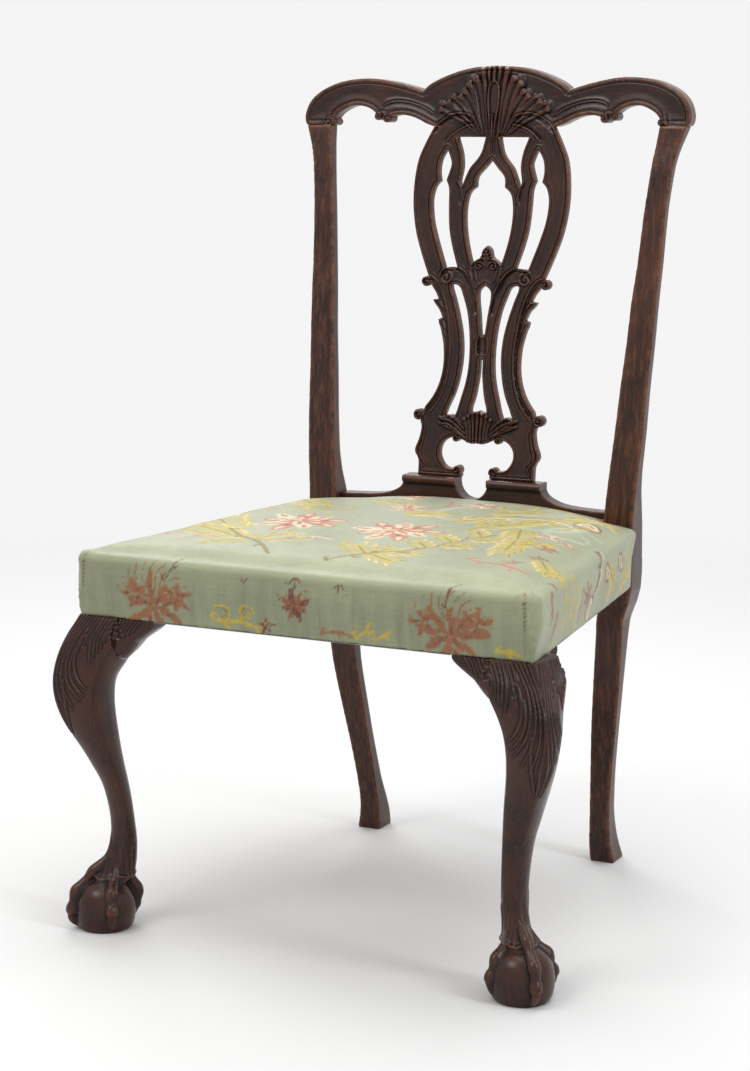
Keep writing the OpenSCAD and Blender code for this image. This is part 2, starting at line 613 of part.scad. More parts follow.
// Tenon on top of a back post, into the crest rail
module stile_tenon(gap) {
    x = stile_top_half - stile_top_w / 2;
    y = seat_depth + stile_rake + crest_t / 2;
    half_w = stile_top_w * stile_tenon_w_share / 2 + gap;
    half_t = crest_t * stile_tenon_t_share / 2 + gap;
    box(x - half_w, x + half_w, y - half_t, y + half_t, crest_joint_z - tenon_root(gap),
        crest_joint_z + stile_tenon_l + gap);
}
module rear_leg(side) {
    color("#3b2019") centred() sided(side) difference() {
        union() {
            skin([for (row = rear_rows) rear_ring(row)]);
            stile_tenon(0);
        }
        side_rail_rear_tenon(joint_gap);
        rear_rail_tenon(joint_gap);
    }
}

// Rails, each with its tenons. A tenon is drawn for the right-hand side.

tenon_z0 = seat_under_z + tenon_shoulder;
tenon_z1 = rail_top_z - tenon_shoulder;
front_tenon_y = rail_inset + tenon_set;
front_tenon_x = side_x(post_back_y, rail_inset) - tenon_wall;
side_tenon_y = front_tenon_y + tenon_t + tenon_web;
rear_tenon_y = rear_rail_y + tenon_set;
module front_rail_tenon(gap) {
    box(post_in_x - tenon_root(gap), front_tenon_x + gap, front_tenon_y - gap,
        front_tenon_y + tenon_t + gap, tenon_z0 - gap, tenon_z1 + gap);
}
module rear_rail_tenon(gap) {
    box(stile_in_x - tenon_root(gap), stile_in_x + stub_tenon_l + gap, rear_tenon_y - gap,
        rear_tenon_y + tenon_t + gap, tenon_z0 - gap, tenon_z1 + gap);
}
// A strip that follows the side of the seat, between two insets
module side_strip(y0, y1, inset0, inset1, z0, z1) {
    drawn_z(z0, z1) polygon([[side_x(y0, inset0), y0], [side_x(y1, inset0), y1],
        [side_x(y1, inset1), y1], [side_x(y0, inset1), y0]]);
}
module side_rail_front_tenon(gap) {
    side_strip(side_tenon_y - gap, post_back_y + tenon_root(gap), front_tenon_y - gap,
        front_tenon_y + tenon_t + gap, tenon_z0 - gap, tenon_z1 + gap);
}
module side_rail_rear_tenon(gap) {
    side_strip(seat_depth - tenon_root(gap), seat_depth + side_tenon_l + gap,
        front_tenon_y - gap, front_tenon_y + tenon_t + gap, tenon_z0 - gap, tenon_z1 + gap);
}
module front_rail() {
    color("#8a6a48") centred() difference() {
        union() {
            box(-post_in_x + joint_gap, post_in_x - joint_gap, rail_inset, rail_inset + rail_t,
                seat_under_z, rail_top_z);
            for (s = [-1, 1]) sided(s) front_rail_tenon(0);
        }
        for (s = [-1, 1]) sided(s) front_peg_holes();
        web_tack_holes();
        cover_tack_holes();
    }
}
module rear_rail() {
    color("#8a6a48") centred() difference() {
        union() {
            box(-stile_in_x + joint_gap, stile_in_x - joint_gap, rear_rail_y, shoe_back_y,
                seat_under_z, rail_top_z);
            for (s = [-1, 1]) sided(s) rear_rail_tenon(0);
        }
        shoe_nail_holes();
        web_tack_holes();
    }
}
module side_rail(side) {
    color("#8a6a48") centred() difference() {
        sided(side) difference() {
            union() {
                side_strip(post_back_y + joint_gap, seat_depth - joint_gap, rail_inset,
                    rail_inset + rail_t, seat_under_z, rail_top_z);
                side_rail_front_tenon(0);
                side_rail_rear_tenon(0);
            }
            side_peg_holes();
        }
        web_tack_holes();
        cover_tack_holes();
    }
}

// Pegs that lock the front joints, two in each

peg_z_share = [0.34, 0.66];
module front_pegs_at(r) {
    for (p = peg_z_share) translate([post_in_x + peg_set, rail_inset + joint_gap,
        seat_under_z + p * rail_h]) rotate([-90, 0, 0])
        cylinder(h = tenon_set + tenon_t + peg_past, r = r, $fn = 8);
}
module side_pegs_at(r) {
    y = post_back_y - peg_set;
    reach = tenon_set + tenon_t + peg_past;
    for (p = peg_z_share) translate([side_x(y + peg_d, rail_inset) - joint_gap, y,
        seat_under_z + p * rail_h]) rotate([0, -90, 0]) cylinder(h = reach, r = r, $fn = 8);
}
module front_peg_holes() {
    translate([0, -overrun, 0]) front_pegs_at(peg_d / 2 + joint_gap);
    translate([0, joint_gap, 0]) front_pegs_at(peg_d / 2 + joint_gap);
}
module side_peg_holes() {
    translate([overrun * 2, 0, 0]) side_pegs_at(peg_d / 2 + joint_gap);
    translate([-joint_gap, 0, 0]) side_pegs_at(peg_d / 2 + joint_gap);
}
module joint_pegs() {
    color("#5a3a22") centred() for (s = [-1, 1]) sided(s) {
        front_pegs_at(peg_d / 2);
        side_pegs_at(peg_d / 2);
    }
}

// Front legs. A leg is drawn on the diagonal through its corner of the seat,
// with D outwards and A across.

diag = sqrt(0.5);
function on_diagonal(d, a) = [leg_x + (d + a) * diag, leg_set_y + (a - d) * diag];
function swung(v, p) = sign(v) * pow(abs(v), 2 / p);
function leg_ring(row) =
    let (mid = (row[1] + row[2]) / 2 * post_w, half_d = (row[1] - row[2]) / 2 * post_w,
        half_a = row[3] * post_w)
    [for (t = [0 : 20 : 340])
        let (q = on_diagonal(mid + half_d * swung(cos(t), row[4]), half_a * swung(sin(t), row[4])))
        [q[0], q[1], row[0] * seat_under_z]];
module post_block() {
    c = [side_x(rail_inset + post_round, rail_inset + post_round), rail_inset + post_round];
    drawn_z(stump_share * seat_under_z, rail_top_z) polygon(concat(
        [for (k = [0 : 4]) let (t = lerp(-90, side_angle, k / 4))
            [c[0] + post_round * cos(t), c[1] + post_round * sin(t)]],
        [[side_x(post_back_y, rail_inset), post_back_y], [post_in_x, post_back_y],
        [post_in_x, rail_inset]]));
}
module ball() {
    p = on_diagonal(foot_shift_share * post_w, 0);
    translate([p[0], p[1], 0]) rotate_extrude($fn = 24) polygon(concat([[0, 0]],
        [for (q = ball_share) [q[0] * ball_r, q[1] * ball_h]]));
}
module talon(turn) {
    spots = [for (q = talon_share)
        let (mid = (foot_shift_share + (1 - q[3]) * ankle_shift_share) * post_w,
            p = on_diagonal(mid + q[0] * ball_r * cos(turn), q[0] * ball_r * sin(turn)))
        [p[0], p[1], q[1] * ball_h, q[2] * ball_r]];
    for (i = [0 : len(spots) - 2]) hull() for (q = [spots[i], spots[i + 1]])
        translate([q[0], q[1], q[2]]) sphere(q[3], $fn = 8);
}
module front_leg(side) {
    color("#3b2019") centred() sided(side) difference() {
        union() {
            intersection() {
                skin([for (row = front_leg_share) leg_ring(row)]);
                box(post_in_x + joint_gap, crest_w, -post_w, post_back_y - joint_gap, 0, seat_under_z);
            }
            post_block();
            ball();
            for (turn = [0 : 90 : 270]) talon(turn);
        }
        front_rail_tenon(joint_gap);
        side_rail_front_tenon(joint_gap);
        front_peg_holes();
        side_peg_holes();
    }
}

// Knee brackets, glued under the rails against the front posts. The form is
// drawn for the front rail, with the post's face at X = 0.

function bracket_ring(row) =
    let (x = -row[0] * bracket_l, deep = row[1] * bracket_h, out = row[2] * bracket_bulge,
        back = rail_inset + bracket_t)
    concat([for (t = [0 : 15 : 90])
        [x, lerp(-out * sin(2 * t), back / 2, pow(1 - cos(t), 1.5)), seat_under_z - deep * sin(t)]],
        [[x, back, seat_under_z - deep * 0.9], [x, back, seat_under_z]]);
module bracket_form() {
    skin([for (i = [len(bracket_share) - 1 : -1 : 0]) bracket_ring(bracket_share[i])]);
}
module bracket_room(x0, x1, y0, y1) {
    box(x0, x1, y0, y1, seat_under_z - 2 * bracket_h, seat_under_z);
}
module knee_bracket_front(side) {
    color("#3b2019") centred() sided(side) intersection() {
        translate([post_in_x, 0, 0]) bracket_form();
        bracket_room(0, post_in_x - joint_gap, -post_w, post_back_y);
    }
}
module knee_bracket_side(side) {
    color("#3b2019") centred() sided(side) intersection() {
        translate([side_x(post_back_y, 0), post_back_y, 0])
            rotate([0, 0, 90 + side_angle]) mirror([1, 0, 0]) bracket_form();
        bracket_room(0, seat_front_w, post_back_y + joint_gap, seat_depth);
    }
}

// Glue blocks in the corners of the seat frame

glue_z0 = seat_under_z + tenon_shoulder / 2;
glue_z1 = rail_top_z - tenon_shoulder / 2;
inner_inset = rail_inset + rail_t + joint_gap;
module corner_block_front(side) {
    y0 = rail_inset + rail_t + joint_gap;
    y1 = post_back_y + joint_gap;
    x1 = post_in_x - joint_gap;
    color("#8a6a48") centred() sided(side) drawn_z(glue_z0, glue_z1) polygon([
        [x1 - glue_block_l, y0], [x1, y0], [x1, y1], [side_x(y1, inner_inset), y1],
        [side_x(y1 + glue_block_l, inner_inset), y1 + glue_block_l]]);
}
module corner_block_rear(side) {
    y0 = seat_depth - glue_block_l;
    y1 = rear_rail_y - joint_gap;
    x1 = side_x(seat_depth, inner_inset);
    color("#8a6a48") centred() sided(side) drawn_z(glue_z0, glue_z1) polygon([
        [side_x(y0, inner_inset), y0], [x1, seat_depth], [x1, y1], [x1 - glue_block_l, y1]]);
}

// Webbing, tacked on the rails. The lengthwise strips lie below, with their
// ends doubled over, and the crosswise strips above, with their ends doubled
// under.

web_y0 = rail_inset + web_end_inset;
web_y1 = shoe_front_y - cloth_gap;
web_rear_fold_l = web_y1 - rear_rail_y;
function web_long_x(i) = web_long_x_share[i] * 2 * stile_in_x;
function web_cross_y(i) = web_cross_y_share[i] * seat_depth;
function web_cross_x(i) = side_x(web_cross_y(i) + web_w / 2, web_y0);
web_tacks_at = concat(
    [for (i = [0 : 3]) for (s = [-1, 1]) for (y = [web_y0 + web_fold_l / 2,
        web_y1 - web_rear_fold_l / 2]) [web_long_x(i) + s * web_tack_share * web_w, y]],
    [for (i = [0 : 3]) for (s = [-1, 1]) for (t = [-1, 1])
        [s * (web_cross_x(i) - web_fold_l / 2), web_cross_y(i) + t * web_tack_share * web_w]]);
module web_tack_holes() {
    for (p = web_tacks_at) translate([p[0], p[1], web_top_z - tack_l - joint_gap])
        cylinder(h = tack_l + overrun, d = tack_d + 2 * joint_gap, $fn = 16);
}
module webbing_lengthwise() {
    color("#b59a6c") centred() difference() {
        for (i = [0 : 3]) translate([web_long_x(i) - web_w / 2, 0, rail_top_z]) {
            translate([0, web_y0, 0]) cube([web_w, web_y1 - web_y0, web_t]);
            translate([0, web_y0, 0]) cube([web_w, web_fold_l, 2 * web_t]);
            translate([0, web_y1 - web_rear_fold_l, 0]) cube([web_w, web_rear_fold_l, 2 * web_t]);
        }
        web_tack_holes();
    }
}
module webbing_crosswise() {
    color("#b59a6c") centred() difference() {
        for (i = [0 : 3]) translate([0, web_cross_y(i) - web_w / 2, rail_top_z + web_t]) {
            translate([-web_cross_x(i), 0, 0]) cube([2 * web_cross_x(i), web_w, web_t]);
            for (s = [-1, 1]) sided(s) translate([web_cross_x(i) - web_fold_l, 0, -web_t])
                cube([web_fold_l, web_w, 2 * web_t]);
        }
        web_tack_holes();
    }
}
module tack() {
    translate([0, 0, -tack_l]) cylinder(h = tack_l + tack_head_t, d = tack_d, $fn = 16);
    cylinder(h = tack_head_t, d = tack_head_d, $fn = 24);
}
module webbing_tacks() {
    color("#2e2c2a") centred() for (p = web_tacks_at) translate([p[0], p[1], web_top_z]) tack();
}

// Sackcloth, edge roll and stuffing

function seat_half_plan(inset, gap) = [[0, inset], [side_x(inset, inset), inset],
    [side_x(seat_depth - gap, inset), seat_depth - gap], [stile_in_x - gap, seat_depth - gap],
    [stile_in_x - gap, shoe_front_y - gap], [0, shoe_front_y - gap]];
module sackcloth() {
    inset = rail_inset + cloth_gap;
    color("#a9946a") centred() drawn_z(sack_top_z - sack_t, sack_top_z)
        polygon(both(seat_half_plan(inset, cloth_gap)));
}
roll_inset = edge_round - edge_bulge + cloth_gap;
roll_bend_r = edge_round + edge_bulge;
roll_half = let (c = roll_inset + roll_bend_r, mid = [side_x(c, c), c])
    concat([for (k = [0 : 4]) let (t = lerp(-90, side_angle, k / 4))
        [mid[0] + roll_bend_r * cos(t), mid[1] + roll_bend_r * sin(t), t]],
        [[side_x(seat_depth - roll_r, roll_inset), seat_depth - roll_r, side_angle]]);
roll_path = concat([for (i = [len(roll_half) - 1 : -1 : 0])
    [-roll_half[i][0], roll_half[i][1], 180 - roll_half[i][2]]], roll_half);
module edge_roll() {
    color("#a9946a") centred() skin([for (p = roll_path) [for (t = [0 : 30 : 330])
        [p[0] - cos(p[2]) * roll_r * cos(t), p[1] - sin(p[2]) * roll_r * cos(t),
        roll_z + roll_r * sin(t)]]]);
}
// Height of the covered seat's surface at a place on it
function crown_z(x, y) =
    let (rim = edge_round - edge_bulge, u = min(1, abs(x) / side_x(y, rim)),
        v = max(0, min(1, (y - rim) / (seat_depth - rim))))
    seat_edge_z + seat_crown * (1 - pow(u, crown_u_power)) * (1 - pow(1 - v, crown_v_power));
// Half rim of a cloth layer: places by front, corner, side and rear. The last
// number is 1 where the cloth hangs down over a rail.
function rim_half(inset, depth) =
    let (c = [side_x(edge_round, edge_round), edge_round], r = edge_round - inset,
        y1 = seat_depth - cloth_gap - depth, x2 = stile_in_x - cloth_gap - depth,
        y2 = seat_rear_y - depth)
    concat(
        [for (f = rim_front_share) [f * c[0], inset, 1]],
        [for (k = [0 : 4]) let (t = lerp(-90, side_angle, k / 4))
            [c[0] + r * cos(t), c[1] + r * sin(t), 1]],
        [for (f = rim_side_share) [side_x(f * seat_depth, inset), f * seat_depth, 1]],
        [[side_x(y1, inset), y1, 1], [side_x(y1, max(inset, depth)) - rear_lip_w, y1, 0],
            [x2, y1, 0], [x2, y2, 0]],
        [for (f = rim_rear_share) [f * x2, y2, 0]]);
function rim(inset, depth) = let (h = rim_half(inset, depth), n = len(h))
    concat([for (p = h) p], [[0, seat_rear_y - depth, 0]],
        [for (i = [n - 1 : -1 : 1]) [-h[i][0], h[i][1], h[i][2]]]);
// Profile of a layer: inset and height of each ring below the crown
function profile(depth, hem_z) =
    let (r = edge_round - depth, inset = edge_round - edge_bulge)
    concat([[depth, hem_z], [depth, rail_top_z - waist_drop]],
        [for (t = [0, 30, 60, 90]) [inset - r * cos(t), roll_z + r * sin(t)]]);
function layer_rings(depth, hem_z) =
    let (rows = profile(depth, hem_z), last = rim(rows[5][0], depth))
    concat(
        [for (j = [0 : 5]) let (p = rim(rows[j][0], depth))
            [for (q = p) [q[0], q[1], q[2] == 1 ? rows[j][1] :
                lerp(rear_hem_z, crown_z(q[0], q[1]) - depth, rear_rise_share[j])]]],
        [for (s = top_rings_share) [for (q = last)
            let (x = q[0] * (1 - s), y = lerp(q[1], crown_mid_y, s)) [x, y, crown_z(x, y) - depth]]]);
crown_mid_y = seat_depth / 2;
rear_hem_z = sack_top_z + cloth_gap;
function pole(depth) = [0, crown_mid_y, crown_z(0, crown_mid_y) - depth];
// A skin whose two ends close in a point each
module pointed_skin(rings, low, high) {
    n = len(rings[0]);
    count = len(rings);
    first = count * n;
    polyhedron(points = concat([for (r = rings) each r], [low, high]),
        faces = concat([for (i = [0 : n - 1]) [first, i, (i + 1) % n]],
            [for (r = [0 : count - 2]) for (i = [0 : n - 1]) for (f = [0, 1])
                let (a = r * n + i, b = r * n + (i + 1) % n)
                f == 0 ? [a, a + n, b + n] : [a, b + n, b]],
            [for (i = [0 : n - 1]) [first + 1, first - n + (i + 1) % n, first - n + i]]),
        convexity = 8);
}
module cloth_layer(depth, thick, hem_z) {
    inner = layer_rings(depth + thick, hem_z);
    pointed_skin(concat([for (i = [len(inner) - 1 : -1 : 0]) inner[i]],
        layer_rings(depth, hem_z)), pole(depth + thick), pole(depth));
}
stuff_depth = rail_inset + cloth_gap;
stuff_inset = roll_inset + roll_r + 2 * cloth_gap;
module seat_stuffing() {
    base = rim(stuff_inset, stuff_depth);
    base_z = sack_top_z + cloth_gap;
    color("#6f5a3c") centred() pointed_skin(concat(
        [[for (q = base) [q[0], q[1], base_z]]],
        [for (s = concat([0], top_rings_share)) [for (q = base)
            let (x = q[0] * (1 - s), y = lerp(q[1], crown_mid_y, s))
            [x, y, crown_z(x, y) - stuff_depth]]]),
        [0, crown_mid_y, base_z], pole(stuff_depth));
}
module linen_cover() {
    color("#d8d0bb") centred() cloth_layer(cover_t + cloth_gap, linen_t, seat_under_z + cloth_gap);
}

// Silk cover, with its hem turned under the rails between the brackets

hem_half = post_in_x - bracket_l - hem_inset;
hem_y0 = post_back_y + bracket_l + hem_inset;
hem_y1 = seat_depth - 2 * hem_inset;
hem_z1 = seat_under_z - cloth_gap;
hem_z0 = hem_z1 - cover_t;
lip_z = seat_under_z + cover_t;
cover_tacks_at = concat(
    let (n = floor(hem_half / tack_pitch)) [for (i = [-n : n]) [i * tack_pitch, hem_w / 2]],
    let (n = floor((hem_y1 - hem_y0) / tack_pitch) - 1) [for (i = [0 : n]) for (s = [-1, 1])
        let (y = hem_y0 + (i + 0.5) * tack_pitch) [s * side_x(y, hem_w / 2), y]]);
module cover_tack_holes() {
    for (p = cover_tacks_at) translate([p[0], p[1], hem_z0 - overrun])
        cylinder(h = tack_l + overrun + joint_gap, d = tack_d + 2 * joint_gap, $fn = 16);
}
module seat_cover() {
    color("#9aa386") centred() {
        cloth_layer(0, cover_t, seat_under_z + cloth_gap);
        difference() {
            union() {
                box(-hem_half, hem_half, 0, hem_w, hem_z0, hem_z1);
                box(-hem_half, hem_half, cover_t / 4, cover_t * 0.75, hem_z0, lip_z);
                for (s = [-1, 1]) sided(s) {
                    side_strip(hem_y0, hem_y1, 0, hem_w, hem_z0, hem_z1);
                    side_strip(hem_y0, hem_y1, cover_t / 4, cover_t * 0.75, hem_z0, lip_z);
                }
            }
            cover_tack_holes();
        }
    }
}
module cover_tacks() {
    color("#2e2c2a") centred() for (p = cover_tacks_at) translate([p[0], p[1], hem_z0])
        mirror([0, 0, 1]) tack();
}

// A scrap of lining that shows under the right-hand side rail
module lining_tab() {
    y = tab_y_share * seat_depth;
    inset = hem_w + 2 * hem_inset;
    color("#7d7468") centred() {
        side_strip(y, y + tab_w, inset, inset + tab_w, seat_under_z - tab_t, seat_under_z);
        side_strip(y, y + tab_w, inset, inset + tab_t, seat_under_z - tab_l, seat_under_z);
    }
}

crest_rail();
splat();
splat_shoe();
rear_leg(-1);  // rear_leg_left
rear_leg(1);  // rear_leg_right
front_leg(-1);  // front_leg_left
front_leg(1);  // front_leg_right
front_rail();
rear_rail();
side_rail(-1);  // side_rail_left
side_rail(1);  // side_rail_right
knee_bracket_front(-1);  // knee_bracket_front_left
knee_bracket_front(1);  // knee_bracket_front_right
knee_bracket_side(-1);  // knee_bracket_side_left
knee_bracket_side(1);  // knee_bracket_side_right
corner_block_front(-1);  // corner_block_front_left
corner_block_front(1);  // corner_block_front_right
corner_block_rear(-1);  // corner_block_rear_left
corner_block_rear(1);  // corner_block_rear_right
joint_pegs();
shoe_nails();
webbing_lengthwise();
webbing_crosswise();
webbing_tacks();
sackcloth();
edge_roll();
seat_stuffing();
linen_cover();
seat_cover();
cover_tacks();
lining_tab();
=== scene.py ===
"""Looks of a carved mahogany side chair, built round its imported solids.

The chair stands on the floor and faces -Y, with Z up. Lengths in the tables
are millimetres, and a carved form is drawn for the half of the chair at +X
and mirrored. A mesh is in metres, as Blender wants it.
"""

import logging
import math
from collections.abc import Callable, Iterable, Sequence
from dataclasses import dataclass, field
from enum import Enum

import bmesh
import bpy
import numpy as np
from mathutils import Matrix, Vector, geometry, kdtree
from mathutils.bvhtree import BVHTree


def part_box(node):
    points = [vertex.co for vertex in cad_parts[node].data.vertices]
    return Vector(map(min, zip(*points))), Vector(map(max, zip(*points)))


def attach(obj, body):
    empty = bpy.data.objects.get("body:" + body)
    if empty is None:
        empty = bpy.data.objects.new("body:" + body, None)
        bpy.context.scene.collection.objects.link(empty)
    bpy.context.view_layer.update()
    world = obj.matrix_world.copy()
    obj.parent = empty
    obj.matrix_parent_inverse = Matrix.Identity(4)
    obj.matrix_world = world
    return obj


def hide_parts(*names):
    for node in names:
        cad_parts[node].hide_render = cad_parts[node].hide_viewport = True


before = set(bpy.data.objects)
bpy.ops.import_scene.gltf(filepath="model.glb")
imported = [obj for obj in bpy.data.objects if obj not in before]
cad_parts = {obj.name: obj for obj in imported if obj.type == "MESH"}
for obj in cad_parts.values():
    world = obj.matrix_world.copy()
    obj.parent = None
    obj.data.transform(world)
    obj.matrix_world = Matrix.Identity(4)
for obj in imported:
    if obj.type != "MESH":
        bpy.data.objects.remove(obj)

log = logging.getLogger("side_chair")
BODY = "root"
MM = 0.001
# Half of the chair's depth, which puts the middle of its plan at the origin
PLAN_MID = 257.75
Colour = tuple[float, float, float]
Points = np.ndarray


class Side(Enum):
    """Which half of the chair a piece belongs to, as the viewer sees it."""

    LEFT = -1
    RIGHT = 1


# materials


class Graph:
    """The node tree of one material, put together a node at a time."""

    def __init__(self, name: str) -> None:
        """Starts an empty tree.

        Args:
            name: Name of the new material.
        """
        self.material = bpy.data.materials.new(name)
        self.material.use_nodes = True
        self.tree = self.material.node_tree
        self.tree.nodes.clear()
        self.output = self.tree.nodes.new("ShaderNodeOutputMaterial")

    def add(self, kind: str, inputs: dict | None = None, **settings) -> bpy.types.Node:
        """Adds a node and joins or sets its inputs.

        Args:
            kind: Blender's name of the node type.
            inputs: Socket name or number, with a value or another node's output.
            settings: Plain properties of the node.

        Returns:
            The new node.
        """
        node = self.tree.nodes.new(kind)
        for key, value in settings.items():
            setattr(node, key, value)
        for key, value in (inputs or {}).items():
            if isinstance(value, bpy.types.NodeSocket):
                self.tree.links.new(value, node.inputs[key])
            elif isinstance(value, tuple) and len(value) == 3 and node.inputs[key].type == "RGBA":
                node.inputs[key].default_value = (*value, 1.0)
            else:
                node.inputs[key].default_value = value
        return node

    def coords(self, scale: Colour = (1.0, 1.0, 1.0), turn: Colour = (0.0, 0.0, 0.0)):
        """Object coordinates, scaled and turned; returns the vector socket."""
        where = self.add("ShaderNodeTexCoord").outputs["Object"]
        node = self.add("ShaderNodeMapping", {"Vector": where, "Scale": scale, "Rotation": turn})
        return node.outputs["Vector"]

    def noise(self, vector, scale: float, detail: float = 4.0, rough: float = 0.55):
        """Noise on a vector; returns its value socket."""
        node = self.add("ShaderNodeTexNoise", {"Vector": vector, "Scale": scale,
                                               "Detail": detail, "Roughness": rough})
        return node.outputs["Fac"]

    def math(self, kind: str, first, second=0.0, clamp: bool = False):
        """One sum of two values; returns its value socket."""
        node = self.add("ShaderNodeMath", {0: first, 1: second}, operation=kind)
        node.use_clamp = clamp
        return node.outputs[0]

    def span(self, value, low: float, high: float, to_low: float = 0.0, to_high: float = 1.0):
        """Maps a range of a value to another, clamped; returns its socket."""
        node = self.add("ShaderNodeMapRange", {"Value": value, "From Min": low, "From Max": high,
                                               "To Min": to_low, "To Max": to_high})
        return node.outputs[0]

    def ramp(self, value, stops: Sequence[tuple[float, Colour]]):
        """A colour ramp over a value; returns its colour socket."""
        node = self.add("ShaderNodeValToRGB", {"Fac": value})
        ends = node.color_ramp.elements
        while len(ends) < len(stops):
            ends.new(0.5)
        for end, (place, colour) in zip(ends, stops):
            end.position = place
            end.color = (*colour, 1.0)
        return node.outputs["Color"]

    def mix(self, share, first, second, blend: str = "MIX"):
        """Mixes two colours; returns the colour socket."""
        node = self.add("ShaderNodeMix", {0: share, 6: first, 7: second}, data_type="RGBA",
                        blend_type=blend)
        return node.outputs[2]

    def attribute(self, name: str, output: str = "Fac"):
        """An attribute of the mesh; returns the named socket."""
        return self.add("ShaderNodeAttribute", attribute_name=name).outputs[output]

    def bump(self, height, distance: float, strength: float = 1.0, below=None):
        """Turns a height into a shaded normal; returns the normal socket."""
        inputs = {"Height": height, "Distance": distance, "Strength": strength}
        if below is not None:
            inputs["Normal"] = below
        return self.add("ShaderNodeBump", inputs).outputs["Normal"]

    def surface(self, **inputs) -> bpy.types.Material:
        """Ends the tree in one shader.

        Args:
            inputs: Sockets of the shader, with underscores for spaces.

        Returns:
            The finished material.
        """
        named = {key.replace("_", " "): value for key, value in inputs.items()}
        shader = self.add("ShaderNodeBsdfPrincipled", named)
        self.tree.links.new(shader.outputs[0], self.output.inputs["Surface"])
        return self.material


@dataclass(frozen=True)
class PolishedWood:
    """Old polished mahogany, with dirt and painted shade in the hollows, and worn on the edges."""

    name: str = "polished_mahogany"
    dark: Colour = (0.005, 0.002, 0.0016)
    body: Colour = (0.023, 0.0062, 0.0037)
    warm: Colour = (0.068, 0.0175, 0.0082)
    worn: Colour = (0.24, 0.085, 0.03)
    grime_and_shade: Colour = (0.0028, 0.0013, 0.0011)
    grain: Colour = (30.0, 30.0, 4.0)
    shine: float = 0.25
    rubbed_and_sheen: float = 0.0

    def material(self) -> bpy.types.Material:
        """Builds the finish.

        Returns:
            A material that reads the mesh's wear attribute: worn edges where it is high, dirt and painted
            shade where it is low.
        """
        g = Graph(self.name)
        along = g.coords(self.grain)
        plain = g.coords()
        figure = g.noise(along, 14.0, 6.0, 0.62)
        pores = g.noise(along, 75.0, 3.0, 0.7)
        cloud = g.noise(plain, 17.0, 4.0)
        base = g.ramp(figure, [(0.3, self.dark), (0.52, self.body), (0.74, self.warm)])
        base = g.mix(g.span(cloud, 0.42, 0.7, 0.0, 0.6), base, self.warm)
        base = g.mix(g.span(pores, 0.56, 0.72, 0.0, 0.5), base, self.dark)
        grain = self.grain
        streaks = g.noise(g.coords((grain[0] * 1.6, grain[1] * 1.6, grain[2] * 0.5)), 5.0, 6.0, 0.7)
        # Lighter streaks along the grain where rubbed_and_sheen is set: partly a finish worn thin, partly
        # painted sheen
        base = g.mix(g.span(streaks, 0.48, 0.72, 0.0, self.rubbed_and_sheen), base, self.worn)
        wear = g.attribute("wear")
        patchy = g.span(g.noise(plain, 95.0, 5.0, 0.7), 0.36, 0.66)
        ridge = g.math("MULTIPLY", g.span(wear, 0.34, 0.95), patchy)
        base = g.mix(g.math("MULTIPLY", ridge, 0.5), base, self.worn)
        # Dirt and painted shade, near-black, where the surface lies in a hollow
        base = g.mix(g.span(wear, -0.04, -0.45, 0.0, 0.97), base, self.grime_and_shade)
        rough = g.span(cloud, 0.3, 0.7, self.shine - 0.05, self.shine + 0.12)
        rough = g.math("ADD", rough, g.span(wear, -0.1, -0.8, 0.0, 0.35))
        normal = g.bump(figure, 0.00025, 0.35)
        normal = g.bump(pores, 0.00012, 0.3, normal)
        normal = g.bump(g.noise(plain, 120.0, 3.0), 0.0003, 0.3, normal)
        return g.surface(Base_Color=base, Roughness=rough, Normal=normal, Coat_Weight=0.15,
                         Coat_Roughness=0.12, Specular_IOR_Level=0.26)


@dataclass(frozen=True)
class PlainTimber:
    """Unpolished timber of the seat frame, pale and dusty, with saw marks."""

    name: str = "frame_timber"
    pale: Colour = (0.36, 0.21, 0.11)
    deep: Colour = (0.16, 0.085, 0.042)
    grain: Colour = (3.0, 40.0, 40.0)

    def material(self) -> bpy.types.Material:
        """Builds the finish; returns the material."""
        g = Graph(self.name)
        along = g.coords(self.grain)
        rings = g.noise(along, 9.0, 6.0, 0.6)
        base = g.ramp(rings, [(0.3, self.deep), (0.7, self.pale)])
        dust = g.span(g.noise(g.coords(), 26.0), 0.45, 0.7, 0.0, 0.5)
        base = g.mix(dust, base, (0.2, 0.15, 0.11))
        saw = g.noise(g.coords((260.0, 6.0, 6.0)), 1.0, 2.0)
        normal = g.bump(saw, 0.0004, 0.5, g.bump(rings, 0.0004, 0.5))
        return g.surface(Base_Color=base, Roughness=0.78, Normal=normal)


@dataclass(frozen=True)
class BlackIron:
    """Hand-made nails and tacks, dark with rust in patches."""

    name: str = "black_iron"
    iron: Colour = (0.045, 0.042, 0.042)
    rust: Colour = (0.12, 0.045, 0.02)

    def material(self) -> bpy.types.Material:
        """Builds the finish; returns the material."""
        g = Graph(self.name)
        spots = g.noise(g.coords(), 420.0, 5.0, 0.7)
        base = g.mix(g.span(spots, 0.45, 0.62), self.iron, self.rust)
        rough = g.span(spots, 0.4, 0.65, 0.42, 0.8)
        metal = g.span(spots, 0.62, 0.45, 0.2, 0.9)
        return g.surface(Base_Color=base, Roughness=rough, Metallic=metal,
                         Normal=g.bump(spots, 0.0003, 0.6))


